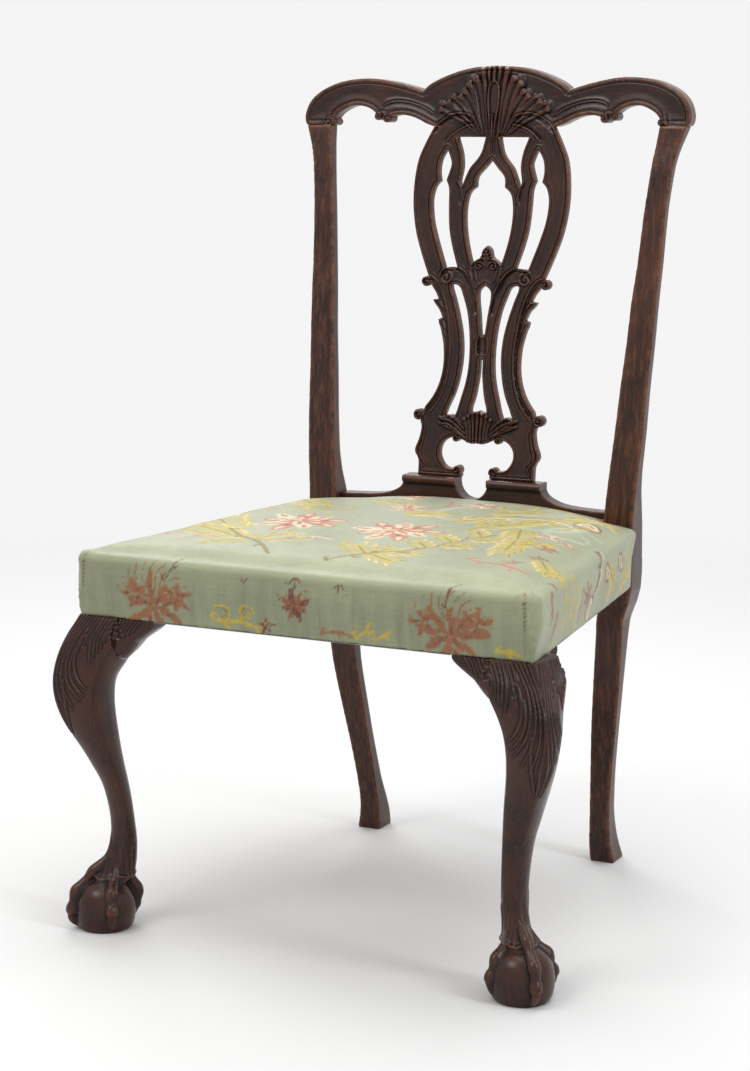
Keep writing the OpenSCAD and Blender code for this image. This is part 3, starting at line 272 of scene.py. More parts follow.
@dataclass(frozen=True)
class WovenCloth:
    """Plain coarse cloth, with its two sets of threads in the weave."""

    name: str
    thread: Colour
    shadow: Colour
    pitch: float
    band: Colour | None = None

    def material(self) -> bpy.types.Material:
        """Builds the finish.

        Returns:
            A material with a plain weave of the cloth's own pitch.
        """
        g = Graph(self.name)
        where = g.coords()
        step = math.tau / (self.pitch * MM)
        pull = g.noise(where, 60.0, 3.0)
        parts = g.add("ShaderNodeSeparateXYZ", {0: where})
        sway = g.math("MULTIPLY", pull, 2.2)
        lines = []
        for axis in ("X", "Y"):
            turn = g.math("MULTIPLY_ADD", parts.outputs[axis], step)
            turn.node.inputs[2].default_value = 0.0
            lines.append(g.math("SINE", g.math("ADD", turn, sway)))
        weave = g.math("MULTIPLY", lines[0], lines[1])
        height = g.span(weave, -1.0, 1.0)
        tone = g.mix(g.span(height, 0.1, 0.75), self.shadow, self.thread)
        stain = g.span(g.noise(where, 11.0), 0.4, 0.75, 0.0, 0.45)
        tone = g.mix(stain, tone, self.shadow)
        if self.band is not None:
            stripe = g.span(g.noise(where, 34.0, 2.0), 0.5, 0.62, 0.0, 0.6)
            tone = g.mix(stripe, tone, self.band)
        fuzz = g.noise(where, 900.0, 2.0)
        normal = g.bump(height, self.pitch * MM / 3, 0.7, g.bump(fuzz, 0.0002, 0.4))
        return g.surface(Base_Color=tone, Roughness=0.88, Normal=normal, Sheen_Weight=0.15)


@dataclass(frozen=True)
class Horsehair:
    """Curled hair of the stuffing, seen only where the cover lifts."""

    name: str = "horsehair"

    def material(self) -> bpy.types.Material:
        """Builds the finish; returns the material."""
        g = Graph(self.name)
        curl = g.noise(g.coords((1.0, 1.0, 3.0)), 260.0, 6.0, 0.8)
        base = g.ramp(curl, [(0.35, (0.02, 0.013, 0.01)), (0.7, (0.2, 0.13, 0.08))])
        return g.surface(Base_Color=base, Roughness=0.9, Normal=g.bump(curl, 0.0015, 0.9))


@dataclass(frozen=True)
class BrocadeSilk:
    """Silk ground with coloured threads, which the mesh carries as a colour."""

    name: str = "brocade_silk"
    rib: float = 0.85

    def material(self) -> bpy.types.Material:
        """Builds the finish.

        Returns:
            A material that takes its threads' colour from the mesh.
        """
        g = Graph(self.name)
        where = g.coords()
        colour = g.attribute("silk", "Color")
        raised = g.attribute("brocading")
        parts = g.add("ShaderNodeSeparateXYZ", {0: where})
        step = math.tau / (self.rib * MM)
        fold = g.noise(where, 130.0, 3.0)
        turn = g.math("ADD", g.math("MULTIPLY", parts.outputs["X"], step),
                      g.math("MULTIPLY", fold, 3.0))
        ribs = g.span(g.math("SINE", turn), -1.0, 1.0)
        thread = g.noise(g.coords((1.0, 0.16, 0.16)), 1500.0, 2.0)
        fade = g.span(g.noise(where, 21.0, 3.0), 0.3, 0.75, 0.9, 1.06)
        slub = g.span(g.noise(g.coords((5.0, 60.0, 60.0)), 9.0, 3.0), 0.3, 0.75, 0.93, 1.05)
        tone = g.math("MULTIPLY", g.math("MULTIPLY", fade, slub), g.span(thread, 0.2, 0.8, 0.9, 1.1))
        grey = g.add("ShaderNodeCombineXYZ", {0: tone, 1: tone, 2: tone}).outputs[0]
        base = g.mix(1.0, colour, grey, "MULTIPLY")
        rough = g.math("ADD", g.span(raised, 0.0, 1.0, 0.5, 0.62),
                       g.span(fold, 0.3, 0.7, -0.06, 0.08))
        height = g.math("ADD", g.math("MULTIPLY", ribs, 0.4), thread)
        normal = g.bump(raised, 0.0004, 0.6, g.bump(height, 0.00025, 0.45))
        return g.surface(Base_Color=base, Roughness=rough, Normal=normal, Sheen_Weight=0.22,
                         Sheen_Roughness=0.45, Specular_IOR_Level=0.45)


@dataclass(frozen=True)
class Finishes:
    """Every finish of the chair, made once."""

    made: dict[str, bpy.types.Material] = field(default_factory=dict)

    def get(self, finish) -> bpy.types.Material:
        """Returns the material of a finish, and makes it at first use."""
        if finish.name not in self.made:
            self.made[finish.name] = finish.material()
        return self.made[finish.name]


FINISHES = Finishes()
UPRIGHT_WOOD = PolishedWood()
# The back posts: a lighter streaked copy of the mahogany, partly a finish worn thin and partly painted sheen
POST_WOOD = PolishedWood(name="rubbed_sheen_mahogany", rubbed_and_sheen=0.42, shine=0.3)
CROSS_WOOD = PolishedWood(name="polished_mahogany_cross", grain=(4.0, 30.0, 30.0))
TIMBER = PlainTimber()
TIMBER_DEEP = PlainTimber(name="frame_timber_deep", grain=(40.0, 3.0, 40.0))
PEG_TIMBER = PlainTimber(name="peg_timber", pale=(0.24, 0.13, 0.065), deep=(0.1, 0.05, 0.025))
IRON = BlackIron()
WEBBING = WovenCloth("webbing_jute", (0.42, 0.33, 0.2), (0.12, 0.085, 0.045), 2.2,
                     (0.3, 0.13, 0.08))
SACKING = WovenCloth("sacking", (0.3, 0.21, 0.12), (0.08, 0.05, 0.028), 1.6)
LINEN = WovenCloth("linen", (0.62, 0.55, 0.43), (0.3, 0.25, 0.18), 1.0)
LINING = WovenCloth("lining", (0.3, 0.29, 0.27), (0.1, 0.095, 0.09), 0.9)
HAIR = Horsehair()
SILK = BrocadeSilk()
# meshes and carving


def deselect() -> None:
    bpy.ops.object.select_all(action="DESELECT")


def mirrored(points: Sequence) -> list:
    """Points on the other side of the chair, x changed in sign."""
    return [(-p[0], *p[1:]) for p in points]


def smoothstep(value: np.ndarray) -> np.ndarray:
    """Soft step from 0 to 1 over 0 to 1."""
    t = np.clip(value, 0.0, 1.0)
    return t * t * (3.0 - 2.0 * t)


def spline(points: Sequence, step: float, closed: bool = False) -> Points:
    """Runs a smooth line through points, without overshooting.

    Args:
        points: Points in two or three dimensions.
        step: Greatest distance between two points of the result.
        closed: Whether the line returns to its start.

    Returns:
        The line's points, closer together than the step.
    """
    p = np.asarray(points, float)
    ends = (p[-1], p[0]) if closed else (2 * p[0] - p[1], 2 * p[-1] - p[-2])
    q = np.vstack([ends[0], p, ends[1]])
    if closed:
        q = np.vstack([q, p[1]])
    out = []
    for i in range(1, len(q) - 2):
        p0, p1, p2, p3 = q[i - 1:i + 3]
        knots = [0.0]
        for a, b in ((p0, p1), (p1, p2), (p2, p3)):
            knots.append(knots[-1] + max(np.linalg.norm(b - a), 1e-6) ** 0.5)
        t0, t1, t2, t3 = knots
        count = max(1, int(math.ceil(np.linalg.norm(p2 - p1) / step)))
        t = np.linspace(t1, t2, count, endpoint=False)[:, None]
        a1 = (t1 - t) / (t1 - t0) * p0 + (t - t0) / (t1 - t0) * p1
        a2 = (t2 - t) / (t2 - t1) * p1 + (t - t1) / (t2 - t1) * p2
        a3 = (t3 - t) / (t3 - t2) * p2 + (t - t2) / (t3 - t2) * p3
        b1 = (t2 - t) / (t2 - t0) * a1 + (t - t0) / (t2 - t0) * a2
        b2 = (t3 - t) / (t3 - t1) * a2 + (t - t1) / (t3 - t1) * a3
        out.append((t2 - t) / (t2 - t1) * b1 + (t - t1) / (t2 - t1) * b2)
    if not closed:
        out.append(q[-2][None, :])
    return np.vstack(out)


def mesh_object(name: str, points: Points, faces: Iterable[Sequence[int]]) -> bpy.types.Object:
    """Makes an object from a mesh in metres.

    Args:
        name: Name of the object and of its mesh.
        points: Its points.
        faces: Its faces, as rows of point numbers.

    Returns:
        The object, linked to the scene.
    """
    mesh = bpy.data.meshes.new(name)
    mesh.from_pydata(np.asarray(points, float).tolist(), [], [list(map(int, f)) for f in faces])
    mesh.validate()
    thing = bpy.data.objects.new(name, mesh)
    bpy.context.collection.objects.link(thing)
    return thing


def corners(thing: bpy.types.Object) -> Points:
    """The places of an object's points, in metres."""
    flat = np.empty(len(thing.data.vertices) * 3)
    thing.data.vertices.foreach_get("co", flat)
    return flat.reshape(-1, 3)


def set_corners(thing: bpy.types.Object, points: Points) -> None:
    """Moves an object's points."""
    thing.data.vertices.foreach_set("co", np.asarray(points, float).ravel())
    thing.data.update()


def point_normals(thing: bpy.types.Object) -> Points:
    """The direction that each point faces."""
    flat = np.empty(len(thing.data.vertices) * 3)
    thing.data.vertices.foreach_get("normal", flat)
    return flat.reshape(-1, 3)


def node_copy(node: str, name: str, merge: float = 2e-6) -> bpy.types.Object:
    """Copies a CAD node into a piece of its own, with its points merged.

    Args:
        node: Name of the CAD node.
        name: Name of the copy.
        merge: Distance within which points become one, in metres.

    Returns:
        The copy, closed and with nothing on it.
    """
    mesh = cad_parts[node].data.copy()
    mesh.name = name
    mesh.materials.clear()
    work = bmesh.new()
    work.from_mesh(mesh)
    bmesh.ops.remove_doubles(work, verts=work.verts, dist=merge)
    bmesh.ops.dissolve_degenerate(work, edges=work.edges, dist=1e-7)
    work.to_mesh(mesh)
    work.free()
    thing = bpy.data.objects.new(name, mesh)
    bpy.context.collection.objects.link(thing)
    return thing


def join(things: Sequence[bpy.types.Object], name: str) -> bpy.types.Object:
    """Joins objects into the first of them; returns it, renamed."""
    deselect()
    for thing in things:
        thing.select_set(True)
    bpy.context.view_layer.objects.active = things[0]
    bpy.ops.object.join()
    things[0].name = name
    things[0].data.name = name
    return things[0]


def apply_modifier(thing: bpy.types.Object, kind: str, **settings) -> None:
    """Adds one modifier to an object and applies it.

    Args:
        thing: The object.
        kind: Blender's name of the modifier type.
        settings: Its properties.
    """
    deselect()
    thing.select_set(True)
    bpy.context.view_layer.objects.active = thing
    modifier = thing.modifiers.new(kind.lower(), kind)
    for key, value in settings.items():
        setattr(modifier, key, value)
    bpy.ops.object.modifier_apply(modifier=modifier.name)


def shade(thing: bpy.types.Object, degrees: float | None = None) -> None:
    """Shades an object smooth, with sharp edges past an angle if one is given."""
    deselect()
    thing.select_set(True)
    bpy.context.view_layer.objects.active = thing
    if degrees is None:
        bpy.ops.object.shade_smooth()
    else:
        bpy.ops.object.shade_smooth_by_angle(angle=math.radians(degrees))


def mark_wear_and_shade(thing: bpy.types.Object, reach: float, passes: int = 2) -> None:
    """Writes how far each point stands out of or lies in the surface about it.

    Args:
        thing: The object, which gets an attribute named wear, from -1 to 1; the finish shows worn edges
            above zero and dirt and painted shade below.
        reach: Size of a bump that counts in full, in metres.
        passes: How many times the neighbours are averaged.
    """
    mesh = thing.data
    points = corners(thing)
    edges = np.empty(len(mesh.edges) * 2, int)
    mesh.edges.foreach_get("vertices", edges)
    first, second = edges.reshape(-1, 2).T
    count = np.bincount(first, minlength=len(points)) + np.bincount(second, minlength=len(points))
    count = np.maximum(count, 1)[:, None]
    smooth = points.copy()
    for _ in range(passes * 4):
        total = np.zeros_like(smooth)
        np.add.at(total, first, smooth[second])
        np.add.at(total, second, smooth[first])
        smooth = total / count
    facing = point_normals(thing)
    out = np.einsum("ij,ij->i", points - smooth, facing) / reach
    out = np.where(facing[:, 1] > 0.3, np.clip(out, -0.2, 0.2), out)
    layer = mesh.attributes.new("wear", "FLOAT", "POINT")
    layer.data.foreach_set("value", np.clip(out, -1.0, 1.0).astype(np.float32))


class Line:
    """A line on a face or in space, that says how near other points are."""

    def __init__(self, points: Points) -> None:
        """Takes the line's points, in order."""
        self.points = np.asarray(points, float)
        self.start = self.points[:-1]
        self.way = self.points[1:] - self.points[:-1]
        self.size = np.maximum(np.einsum("ij,ij->i", self.way, self.way), 1e-12)
        run = np.concatenate([[0.0], np.cumsum(np.sqrt(self.size))])
        self.run = run
        self.length = run[-1]

    def near(self, spots: Points) -> tuple[np.ndarray, np.ndarray, np.ndarray]:
        """Finds the nearest place of the line to each spot.

        Args:
            spots: Places to ask for.

        Returns:
            The distance, the run along the line from its start, and on a face
            the side: 1 at the left of the line and -1 at its right.
        """
        gap = spots[:, None, :] - self.start[None, :, :]
        t = np.clip(np.einsum("ijk,jk->ij", gap, self.way) / self.size, 0.0, 1.0)
        off = gap - t[:, :, None] * self.way[None, :, :]
        away = np.einsum("ijk,ijk->ij", off, off)
        best = away.argmin(axis=1)
        rows = np.arange(len(spots))
        run = self.run[best] + t[rows, best] * np.sqrt(self.size[best])
        side = np.ones(len(spots))
        if spots.shape[1] == 2:
            way, back = self.way[best], gap[rows, best]
            side = np.sign(way[:, 0] * back[:, 1] - way[:, 1] * back[:, 0])
        return np.sqrt(away[rows, best]), run, side


@dataclass
class Ridge:
    """A carved ridge: its line, its half-width from end to end and its height."""

    line: Sequence
    width: Sequence[float]
    height: float
    step: float = 1.5
    fade: float = 0.0

    def raised(self, spots: Points) -> np.ndarray:
        """Says how far the ridge lifts each spot.

        Args:
            spots: Places, in the ridge's own units.

        Returns:
            The height at each spot, zero away from the ridge.
        """
        path = Line(spline(self.line, self.step))
        lift = np.zeros(len(spots))
        most = max(self.width)
        low, high = path.points.min(axis=0) - most, path.points.max(axis=0) + most
        inside = np.all((spots > low) & (spots < high), axis=1).nonzero()[0]
        for part in np.array_split(inside, max(1, len(inside) // 20000)):
            if len(part) == 0:
                continue
            away, run, _ = path.near(spots[part])
            share = run / path.length
            width = np.interp(share, np.linspace(0.0, 1.0, len(self.width)), self.width)
            ratio = np.clip(1.0 - (away / width) ** 2, 0.0, 1.0)
            full = np.minimum(1.0, width / max(self.width) + 0.25)
            if self.fade > 0.0:
                full = full * smoothstep((path.length - run) / self.fade)
            lift[part] = self.height * np.sqrt(ratio) * full
        return lift


@dataclass
class Overlap:
    """The edge of a strap that passes over another, at the left of its line."""

    line: Sequence
    dip: float = 1.9
    fade: float = 7.0


@dataclass
class Moulding:
    """Worked edge of a board: distances from the edge, and depths there."""

    rows: tuple[float, ...] = (0.0, 0.45, 1.1, 1.8, 2.5, 3.1, 3.5, 3.9, 4.3, 4.8, 5.6)
    depth: tuple[float, ...] = (-1.5, -0.6, -0.12, 0.0, -0.16, -0.62, -1.35, -1.4, -0.45, -0.32,
                                -0.5)
    hollow: float = -1.15
    hollow_at: float = 9.0

    def height(self, away: np.ndarray, scale: np.ndarray | float = 1.0) -> np.ndarray:
        """Height of the face at a distance from the edge, for a width scale."""
        xs = (*self.rows, self.hollow_at)
        ys = (*self.depth, self.hollow)
        return np.interp(away / scale, xs, ys)


def face_loops(node: str, facing: tuple[float, float, float]) -> list[Points]:
    """Finds the outline of a board's flat side, with its openings.

    Args:
        node: Name of the CAD node.
        facing: Direction that the side faces.

    Returns:
        Closed loops of x and z in millimetres, the outer one first and the
        wood at the left of each.
    """
    copy = node_copy(node, node + "_outline")
    work = bmesh.new()
    work.from_mesh(copy.data)
    want = Vector(facing).normalized()
    flat = {f for f in work.faces if f.normal.dot(want) > 0.985}
    best: set = set()
    while flat:
        seed = flat.pop()
        group, queue = {seed}, [seed]
        while queue:
            for edge in queue.pop().edges:
                for other in edge.link_faces:
                    if other in flat:
                        flat.discard(other)
                        group.add(other)
                        queue.append(other)
        if sum(f.calc_area() for f in group) > sum(f.calc_area() for f in best):
            best = group
    after = {}
    for face in best:
        for loop in face.loops:
            if not any(f in best for f in loop.edge.link_faces if f is not face):
                after[loop.vert.index] = loop.link_loop_next.vert.index
    place = {v.index: (v.co.x / MM, v.co.z / MM) for v in work.verts}
    loops = []
    while after:
        start, spot = after.popitem()
        ring = [start]
        while spot != start:
            ring.append(spot)
            spot = after.pop(spot)
        loops.append(np.array([place[i] for i in ring]))
    work.free()
    bpy.data.meshes.remove(copy.data)
    area = [0.5 * float(np.sum(r[:, 0] * np.roll(r[:, 1], -1) - r[:, 1] * np.roll(r[:, 0], -1)))
            for r in loops]
    outer = int(np.argmax(np.abs(area)))
    turned = []
    for i, ring in enumerate(loops):
        if (area[i] > 0) != (i == outer):
            ring = ring[::-1]
        turned.append(ring)
    turned.insert(0, turned.pop(outer))
    return turned


def eased_loop(ring: Points, step: float, corner: float = 25.0) -> tuple[Points, Points]:
    """Rounds a loop's small facets and keeps its corners.

    Args:
        ring: Corners of the loop.
        step: Distance between the points of the result.
        corner: Turn in degrees past which a corner stays sharp.

    Returns:
        The new loop, and the corners that stayed.
    """
    gap = np.linalg.norm(ring - np.roll(ring, 1, axis=0), axis=1)
    ring = ring[gap > 0.04]
    before = ring - np.roll(ring, 1, axis=0)
    after = np.roll(ring, -1, axis=0) - ring
    cross = before[:, 0] * after[:, 1] - before[:, 1] * after[:, 0]
    turn = np.degrees(np.arctan2(cross, np.einsum("ij,ij->i", before, after)))
    ring, turn = ring[np.abs(turn) > 0.4], turn[np.abs(turn) > 0.4]
    sharp = (np.abs(turn) > corner).nonzero()[0]
    if len(sharp) == 0:
        return spline(ring, step, closed=True), np.empty((0, 2))
    ring = np.roll(ring, -sharp[0], axis=0)
    sharp = np.append(sharp - sharp[0], len(ring))
    ring = np.vstack([ring, ring[0]])
    parts = []
    for a, b in zip(sharp[:-1], sharp[1:]):
        parts.append(spline(ring[a:b + 1], step)[:-1])
    return np.vstack(parts), ring[sharp[:-1]]


class Nearness:
    """How far places on a face are from a set of closed loops."""

    def __init__(self, loops: Sequence[Points],
                 joint: Callable[[Points], np.ndarray] | None = None) -> None:
        """Takes the loops, which are closely spaced, and what says which places are a joint."""
        self.here = np.vstack(loops)
        self.after = np.vstack([np.roll(r, -1, axis=0) for r in loops])
        self.before = np.vstack([np.roll(r, 1, axis=0) for r in loops])
        if joint is not None:
            open_edge = ~joint(self.here)
            self.here, self.after = self.here[open_edge], self.after[open_edge]
            self.before = self.before[open_edge]
        self.tree = kdtree.KDTree(len(self.here))
        for i, p in enumerate(self.here):
            self.tree.insert((p[0], p[1], 0.0), i)
        self.tree.balance()

    def away(self, spots: Points) -> np.ndarray:
        """Distance of each spot from the loops, negative off the wood."""
        found = [self.tree.find((p[0], p[1], 0.0))[1] for p in spots.tolist()]
        here = self.here[found]
        best = np.full(len(spots), np.inf)
        inward = np.zeros((len(spots), 2))
        for ends, turn in ((self.after, 1.0), (self.before, -1.0)):
            way = ends[found] - here
            size = np.maximum(np.einsum("ij,ij->i", way, way), 1e-12)
            t = np.clip(np.einsum("ij,ij->i", spots - here, way) / size, 0.0, 1.0)
            best = np.minimum(best, np.linalg.norm(spots - here - t[:, None] * way, axis=1))
            left = np.column_stack([-way[:, 1], way[:, 0]]) * (turn / np.sqrt(size))[:, None]
            inward = np.where((t > 0.0)[:, None], left, inward)
            if turn < 0.0:
                tip = (np.abs(best - np.linalg.norm(spots - here, axis=1)) < 1e-9)[:, None]
                inward = np.where(tip, left + first, inward)
            first = left
        return np.where(np.einsum("ij,ij->i", spots - here, inward) >= 0.0, best, -best)


@dataclass
class CarvedBoard:
    """A pierced board with a worked edge, crossing straps and carved ridges.

    Its face is drawn in x and z, and depth says where the plain face lies.
    """

    name: str
    node: str
    facing: tuple[float, float, float]
    front: Callable[[Points], np.ndarray]
    thickness: float
    ridges: list[Ridge]
    overlaps: list[Overlap]
    moulding: Moulding = field(default_factory=Moulding)
    widen: Callable[[Points], np.ndarray] | None = None
    joint: Callable[[Points], np.ndarray] | None = None
    step: float = 1.15
    fine: float = 0.8
    coarse: float = 2.1

    def lifted(self, spots: Points) -> np.ndarray:
        """Height of the carved face over the plain one, in millimetres."""
        away = np.abs(self.worked.away(spots))
        scale = np.ones(len(spots)) if self.widen is None else self.widen(spots)
        away = away / scale
        dip = np.zeros(len(spots))
        for lap, path in zip(self.overlaps, self.paths):
            low, high = path.points.min(axis=0) - 9.0, path.points.max(axis=0) + 9.0
            inside = np.all((spots > low) & (spots < high), axis=1).nonzero()[0]
            if len(inside) == 0:
                continue
            gap, run, side = path.near(spots[inside])
            ends = np.minimum(run, path.length - run)
            hold = smoothstep(ends / min(8.0, path.length / 3))
            over = gap / np.maximum(hold, 0.02)
            away[inside] = np.where(side > 0, np.minimum(away[inside], over), away[inside])
            under = lap.dip * hold * (1.0 - smoothstep(gap / lap.fade))
            dip[inside] = np.maximum(dip[inside], np.where(side > 0, 0.0, under))
        lift = self.moulding.height(away) - dip
        raised = np.zeros(len(spots))
        for ridge in self.ridges:
            raised = np.maximum(raised, ridge.raised(spots))
        return lift + raised

    def scatter(self, loops: list[Points], kept: Points) -> Points:
        """Places the points of the carved face.

        Args:
            loops: The outline.
            kept: Its sharp corners.

        Returns:
            Points of the face that aren't on the outline.
        """
        spots = []
        ring = np.vstack(loops)
        way = np.vstack([np.roll(r, -1, axis=0) - np.roll(r, 1, axis=0) for r in loops])
        way /= np.maximum(np.linalg.norm(way, axis=1), 1e-9)[:, None]
        inward = np.column_stack([-way[:, 1], way[:, 0]])
        scale = np.ones(len(ring)) if self.widen is None else self.widen(ring)
        for d in self.moulding.rows[1:]:
            at = ring + inward * (d * scale)[:, None]
            spots.append(at[self.nearness.away(at) > d * scale - 0.12])
            if len(kept):
                around = np.linspace(0.0, math.tau, 20, endpoint=False)
                circle = np.column_stack([np.cos(around), np.sin(around)]) * d
                at = (kept[:, None, :] + circle[None, :, :]).reshape(-1, 2)
                spots.append(at[self.nearness.away(at) > d - 0.12])
        edge = max(self.moulding.rows)
        for path in self.paths:
            line = path.points
            way = np.gradient(line, axis=0)
            way /= np.maximum(np.linalg.norm(way, axis=1), 1e-9)[:, None]
            left = np.column_stack([-way[:, 1], way[:, 0]])
            for d in (-3.0, -1.2, *self.moulding.rows):
                at = line + left * d
                spots.append(at[self.nearness.away(at) > 0.4])
        low, high = ring.min(axis=0), ring.max(axis=0)
        for pitch, wanted in ((self.coarse, False), (self.fine, True)):
            xs = np.arange(low[0], high[0], pitch)
            zs = np.arange(low[1], high[1], pitch * 0.87)
            grid = np.stack(np.meshgrid(xs, zs), axis=-1)
            grid[1::2, :, 0] += pitch / 2
            grid = grid.reshape(-1, 2)
            carved = self.near_ridges(grid)
            grid = grid[carved if wanted else ~carved]
            away = self.nearness.away(grid)
            spots.append(grid[away > (0.5 if wanted else edge)])
        return np.vstack(spots)

    def near_ridges(self, grid: Points) -> np.ndarray:
        """Says which places lie on or close beside a ridge."""
        found = np.zeros(len(grid), bool)
        for ridge in self.ridges:
            wide = Ridge(ridge.line, [w + 1.6 for w in ridge.width], 1.0)
            found |= wide.raised(grid) > 0.0
        return found

    def wooden(self, places: Points, faces: Sequence[Sequence[int]]) -> list:
        """Keeps the faces that lie on wood and not over an opening."""
        middle = np.array([places[list(f)].mean(axis=0) for f in faces])
        return [f for f, on in zip(faces, self.nearness.away(middle) > 0.0) if on]

    def build(self) -> bpy.types.Object:
        """Makes the board's mesh.

        Returns:
            The carved board.
        """
        loops, kept = [], [np.empty((0, 2))]
        for ring in face_loops(self.node, self.facing):
            eased, sharp = eased_loop(ring, self.step)
            loops.append(eased)
            kept.append(sharp)
        self.nearness = Nearness(loops)
        self.worked = Nearness(loops, self.joint)
        self.paths = [Line(spline(lap.line, 1.2)) for lap in self.overlaps]
        edge = np.vstack(loops)
        spots = self.scatter(loops, np.vstack(kept))
        flat = np.vstack([edge, spots])
        links, base = [], 0
        for ring in loops:
            links += [(base + i, base + (i + 1) % len(ring)) for i in range(len(ring))]
            base += len(ring)
        done = geometry.delaunay_2d_cdt([Vector(p) for p in flat.tolist()], links, [], 2, 1e-5)
        at, _, faces, origin = done[0], done[1], done[2], done[3]
        face_xz = np.array([(v.x, v.y) for v in at])
        lift = self.lifted(face_xz)
        front = np.column_stack([face_xz[:, 0], self.front(face_xz) - lift, face_xz[:, 1]])
        back_done = geometry.delaunay_2d_cdt([Vector(p) for p in edge.tolist()], links, [], 2, 1e-5)
        back_xz = np.array([(v.x, v.y) for v in back_done[0]])
        back = np.column_stack([back_xz[:, 0], self.front(back_xz) + self.thickness, back_xz[:, 1]])
        faces = self.wooden(face_xz, faces)
        here = {old: new for new, olds in enumerate(origin) for old in olds}
        there = {old: new for new, olds in enumerate(back_done[3]) for old in olds}
        rows = 3
        walls, middle = [], []
        count_front, count_back = len(front), len(back)
        rim_front = front[[here[i] for i in range(len(edge))]]
        rim_back = back[[there[i] for i in range(len(edge))]]
        for k in range(1, rows):
            middle.append(rim_front + (rim_back - rim_front) * k / rows)
        points = np.vstack([front, back, *middle])
        level = [[here[i] for i in range(len(edge))]]
        for k in range(rows - 1):
            start = count_front + count_back + k * len(edge)
            level.append([start + i for i in range(len(edge))])
        level.append([count_front + there[i] for i in range(len(edge))])
        for a, b in links:
            for upper, lower in zip(level[:-1], level[1:]):
                walls.append((upper[a], lower[a], lower[b], upper[b]))
        whole = [tuple(f) for f in faces]
        whole += [tuple(count_front + i for i in reversed(f))
                  for f in self.wooden(back_xz, back_done[2])]
        whole += walls
        thing = mesh_object(self.name, points * MM, whole)
        work = bmesh.new()
        work.from_mesh(thing.data)
        bmesh.ops.remove_doubles(work, verts=work.verts, dist=1e-6)
        bmesh.ops.recalc_face_normals(work, faces=work.faces)
        work.to_mesh(thing.data)
        work.free()
        return thing


def lofted(name: str, rings: Sequence[Points], closed: bool = False) -> bpy.types.Object:
    """Runs a closed skin over rings of equal counts, in millimetres.

    Args:
        name: Name of the object.
        rings: Rings of points, one after another.
        closed: Whether the last ring joins the first, instead of two caps.

    Returns:
        The closed object, its normals outwards.
    """
    count, rows = len(rings[0]), len(rings)
    faces = []
    for k in range(rows if closed else rows - 1):
        low, high = k * count, (k + 1) % rows * count
        for i in range(count):
            j = (i + 1) % count
            faces.append((low + i, low + j, high + j, high + i))
    if not closed:
        faces.append(tuple(range(count))[::-1])
        faces.append(tuple((rows - 1) * count + i for i in range(count)))
    thing = mesh_object(name, np.vstack(rings) * MM, faces)
    work = bmesh.new()
    work.from_mesh(thing.data)
    bmesh.ops.remove_doubles(work, verts=work.verts, dist=1e-7)
    bmesh.ops.recalc_face_normals(work, faces=work.faces)
    work.to_mesh(thing.data)
    work.free()
    return thing


def neighbour_means(thing: bpy.types.Object) -> Callable[[Points], Points]:
    """Returns a function that averages each point's neighbours on the mesh."""
    mesh = thing.data
    pairs = np.empty(len(mesh.edges) * 2, int)
    mesh.edges.foreach_get("vertices", pairs)
    first, second = pairs.reshape(-1, 2).T
    size = len(mesh.vertices)
    at, to = np.concatenate([first, second]), np.concatenate([second, first])
    count = np.maximum(np.bincount(at, minlength=size), 1)

    def means(values: Points) -> Points:
        """Means of the neighbours' values, one column at a time."""
        return np.column_stack([np.bincount(at, weights=column[to], minlength=size) / count
                                for column in values.T])

    return means


def relaxed(thing: bpy.types.Object, passes: int, share: float = 0.5,
            where: np.ndarray | None = None) -> None:
    """Evens out a mesh, and keeps its volume by a step back after each pass.

    Args:
        thing: The object.
        passes: How many times.
        share: How far each point moves to its neighbours' middle.
        where: How much each point takes part, from 0 to 1, or None for all.
    """
    means = neighbour_means(thing)
    places = corners(thing)
    part = 1.0 if where is None else where[:, None]
    for _ in range(passes):
        for step in (share, -share * 1.04):
            places = places + (means(places) - places) * step * part
    set_corners(thing, places)


def fine_faces(thing: bpy.types.Object, wanted: Callable[[Points], np.ndarray]) -> None:
    """Divides the faces whose middles are wanted, once.

    Args:
        thing: The object.
        wanted: Says which places, in metres, lie where the mesh is to be finer.
    """
    work = bmesh.new()
    work.from_mesh(thing.data)
    middles = np.array([f.calc_center_median()[:] for f in work.faces])
    chosen = wanted(middles)
    edges = {e for f, on in zip(work.faces, chosen) if on for e in f.edges}
    bmesh.ops.subdivide_edges(work, edges=list(edges), cuts=1, use_grid_fill=True)
    work.to_mesh(thing.data)
    work.free()


def surface_of(things: Sequence[bpy.types.Object]) -> BVHTree:
    """The joint surface of some objects, in millimetres, for casting rays."""
    places, faces, base = [], [], 0
    for thing in things:
        spots = corners(thing) / MM
        places += [Vector(p) for p in spots.tolist()]
        faces += [tuple(base + i for i in p.vertices) for p in thing.data.polygons]
        base += len(spots)
    return BVHTree.FromPolygons(places, faces)


def carve(thing: bpy.types.Object, ridges: Sequence[Ridge], groove: float) -> None:
    """Raises ridges on an object, and sinks the ground beside them.

    Args:
        thing: The object, whose points are close enough for the ridges.
        ridges: Ridges in space, in millimetres.
        groove: Depth of the ground beside the ridges.
    """
    places = corners(thing)
    spots = places / MM
    lift, beside = np.zeros(len(spots)), np.zeros(len(spots))
    for ridge in ridges:
        lift = np.maximum(lift, ridge.raised(spots))
        if groove > 0.0:
            wide = Ridge(ridge.line, [w + 2.4 for w in ridge.width], 1.0, ridge.step, ridge.fade)
            beside = np.maximum(beside, np.minimum(1.0, wide.raised(spots) * 1.3))
    move = (lift - groove * beside) * MM
    set_corners(thing, places + point_normals(thing) * move[:, None])
# chair's back


def both(ridges: Sequence[Ridge]) -> list[Ridge]:
    """Ridges of one half and their mirrored copies."""
    other = [Ridge(mirrored(r.line), r.width, r.height, r.step) for r in ridges]
    return [*ridges, *other]


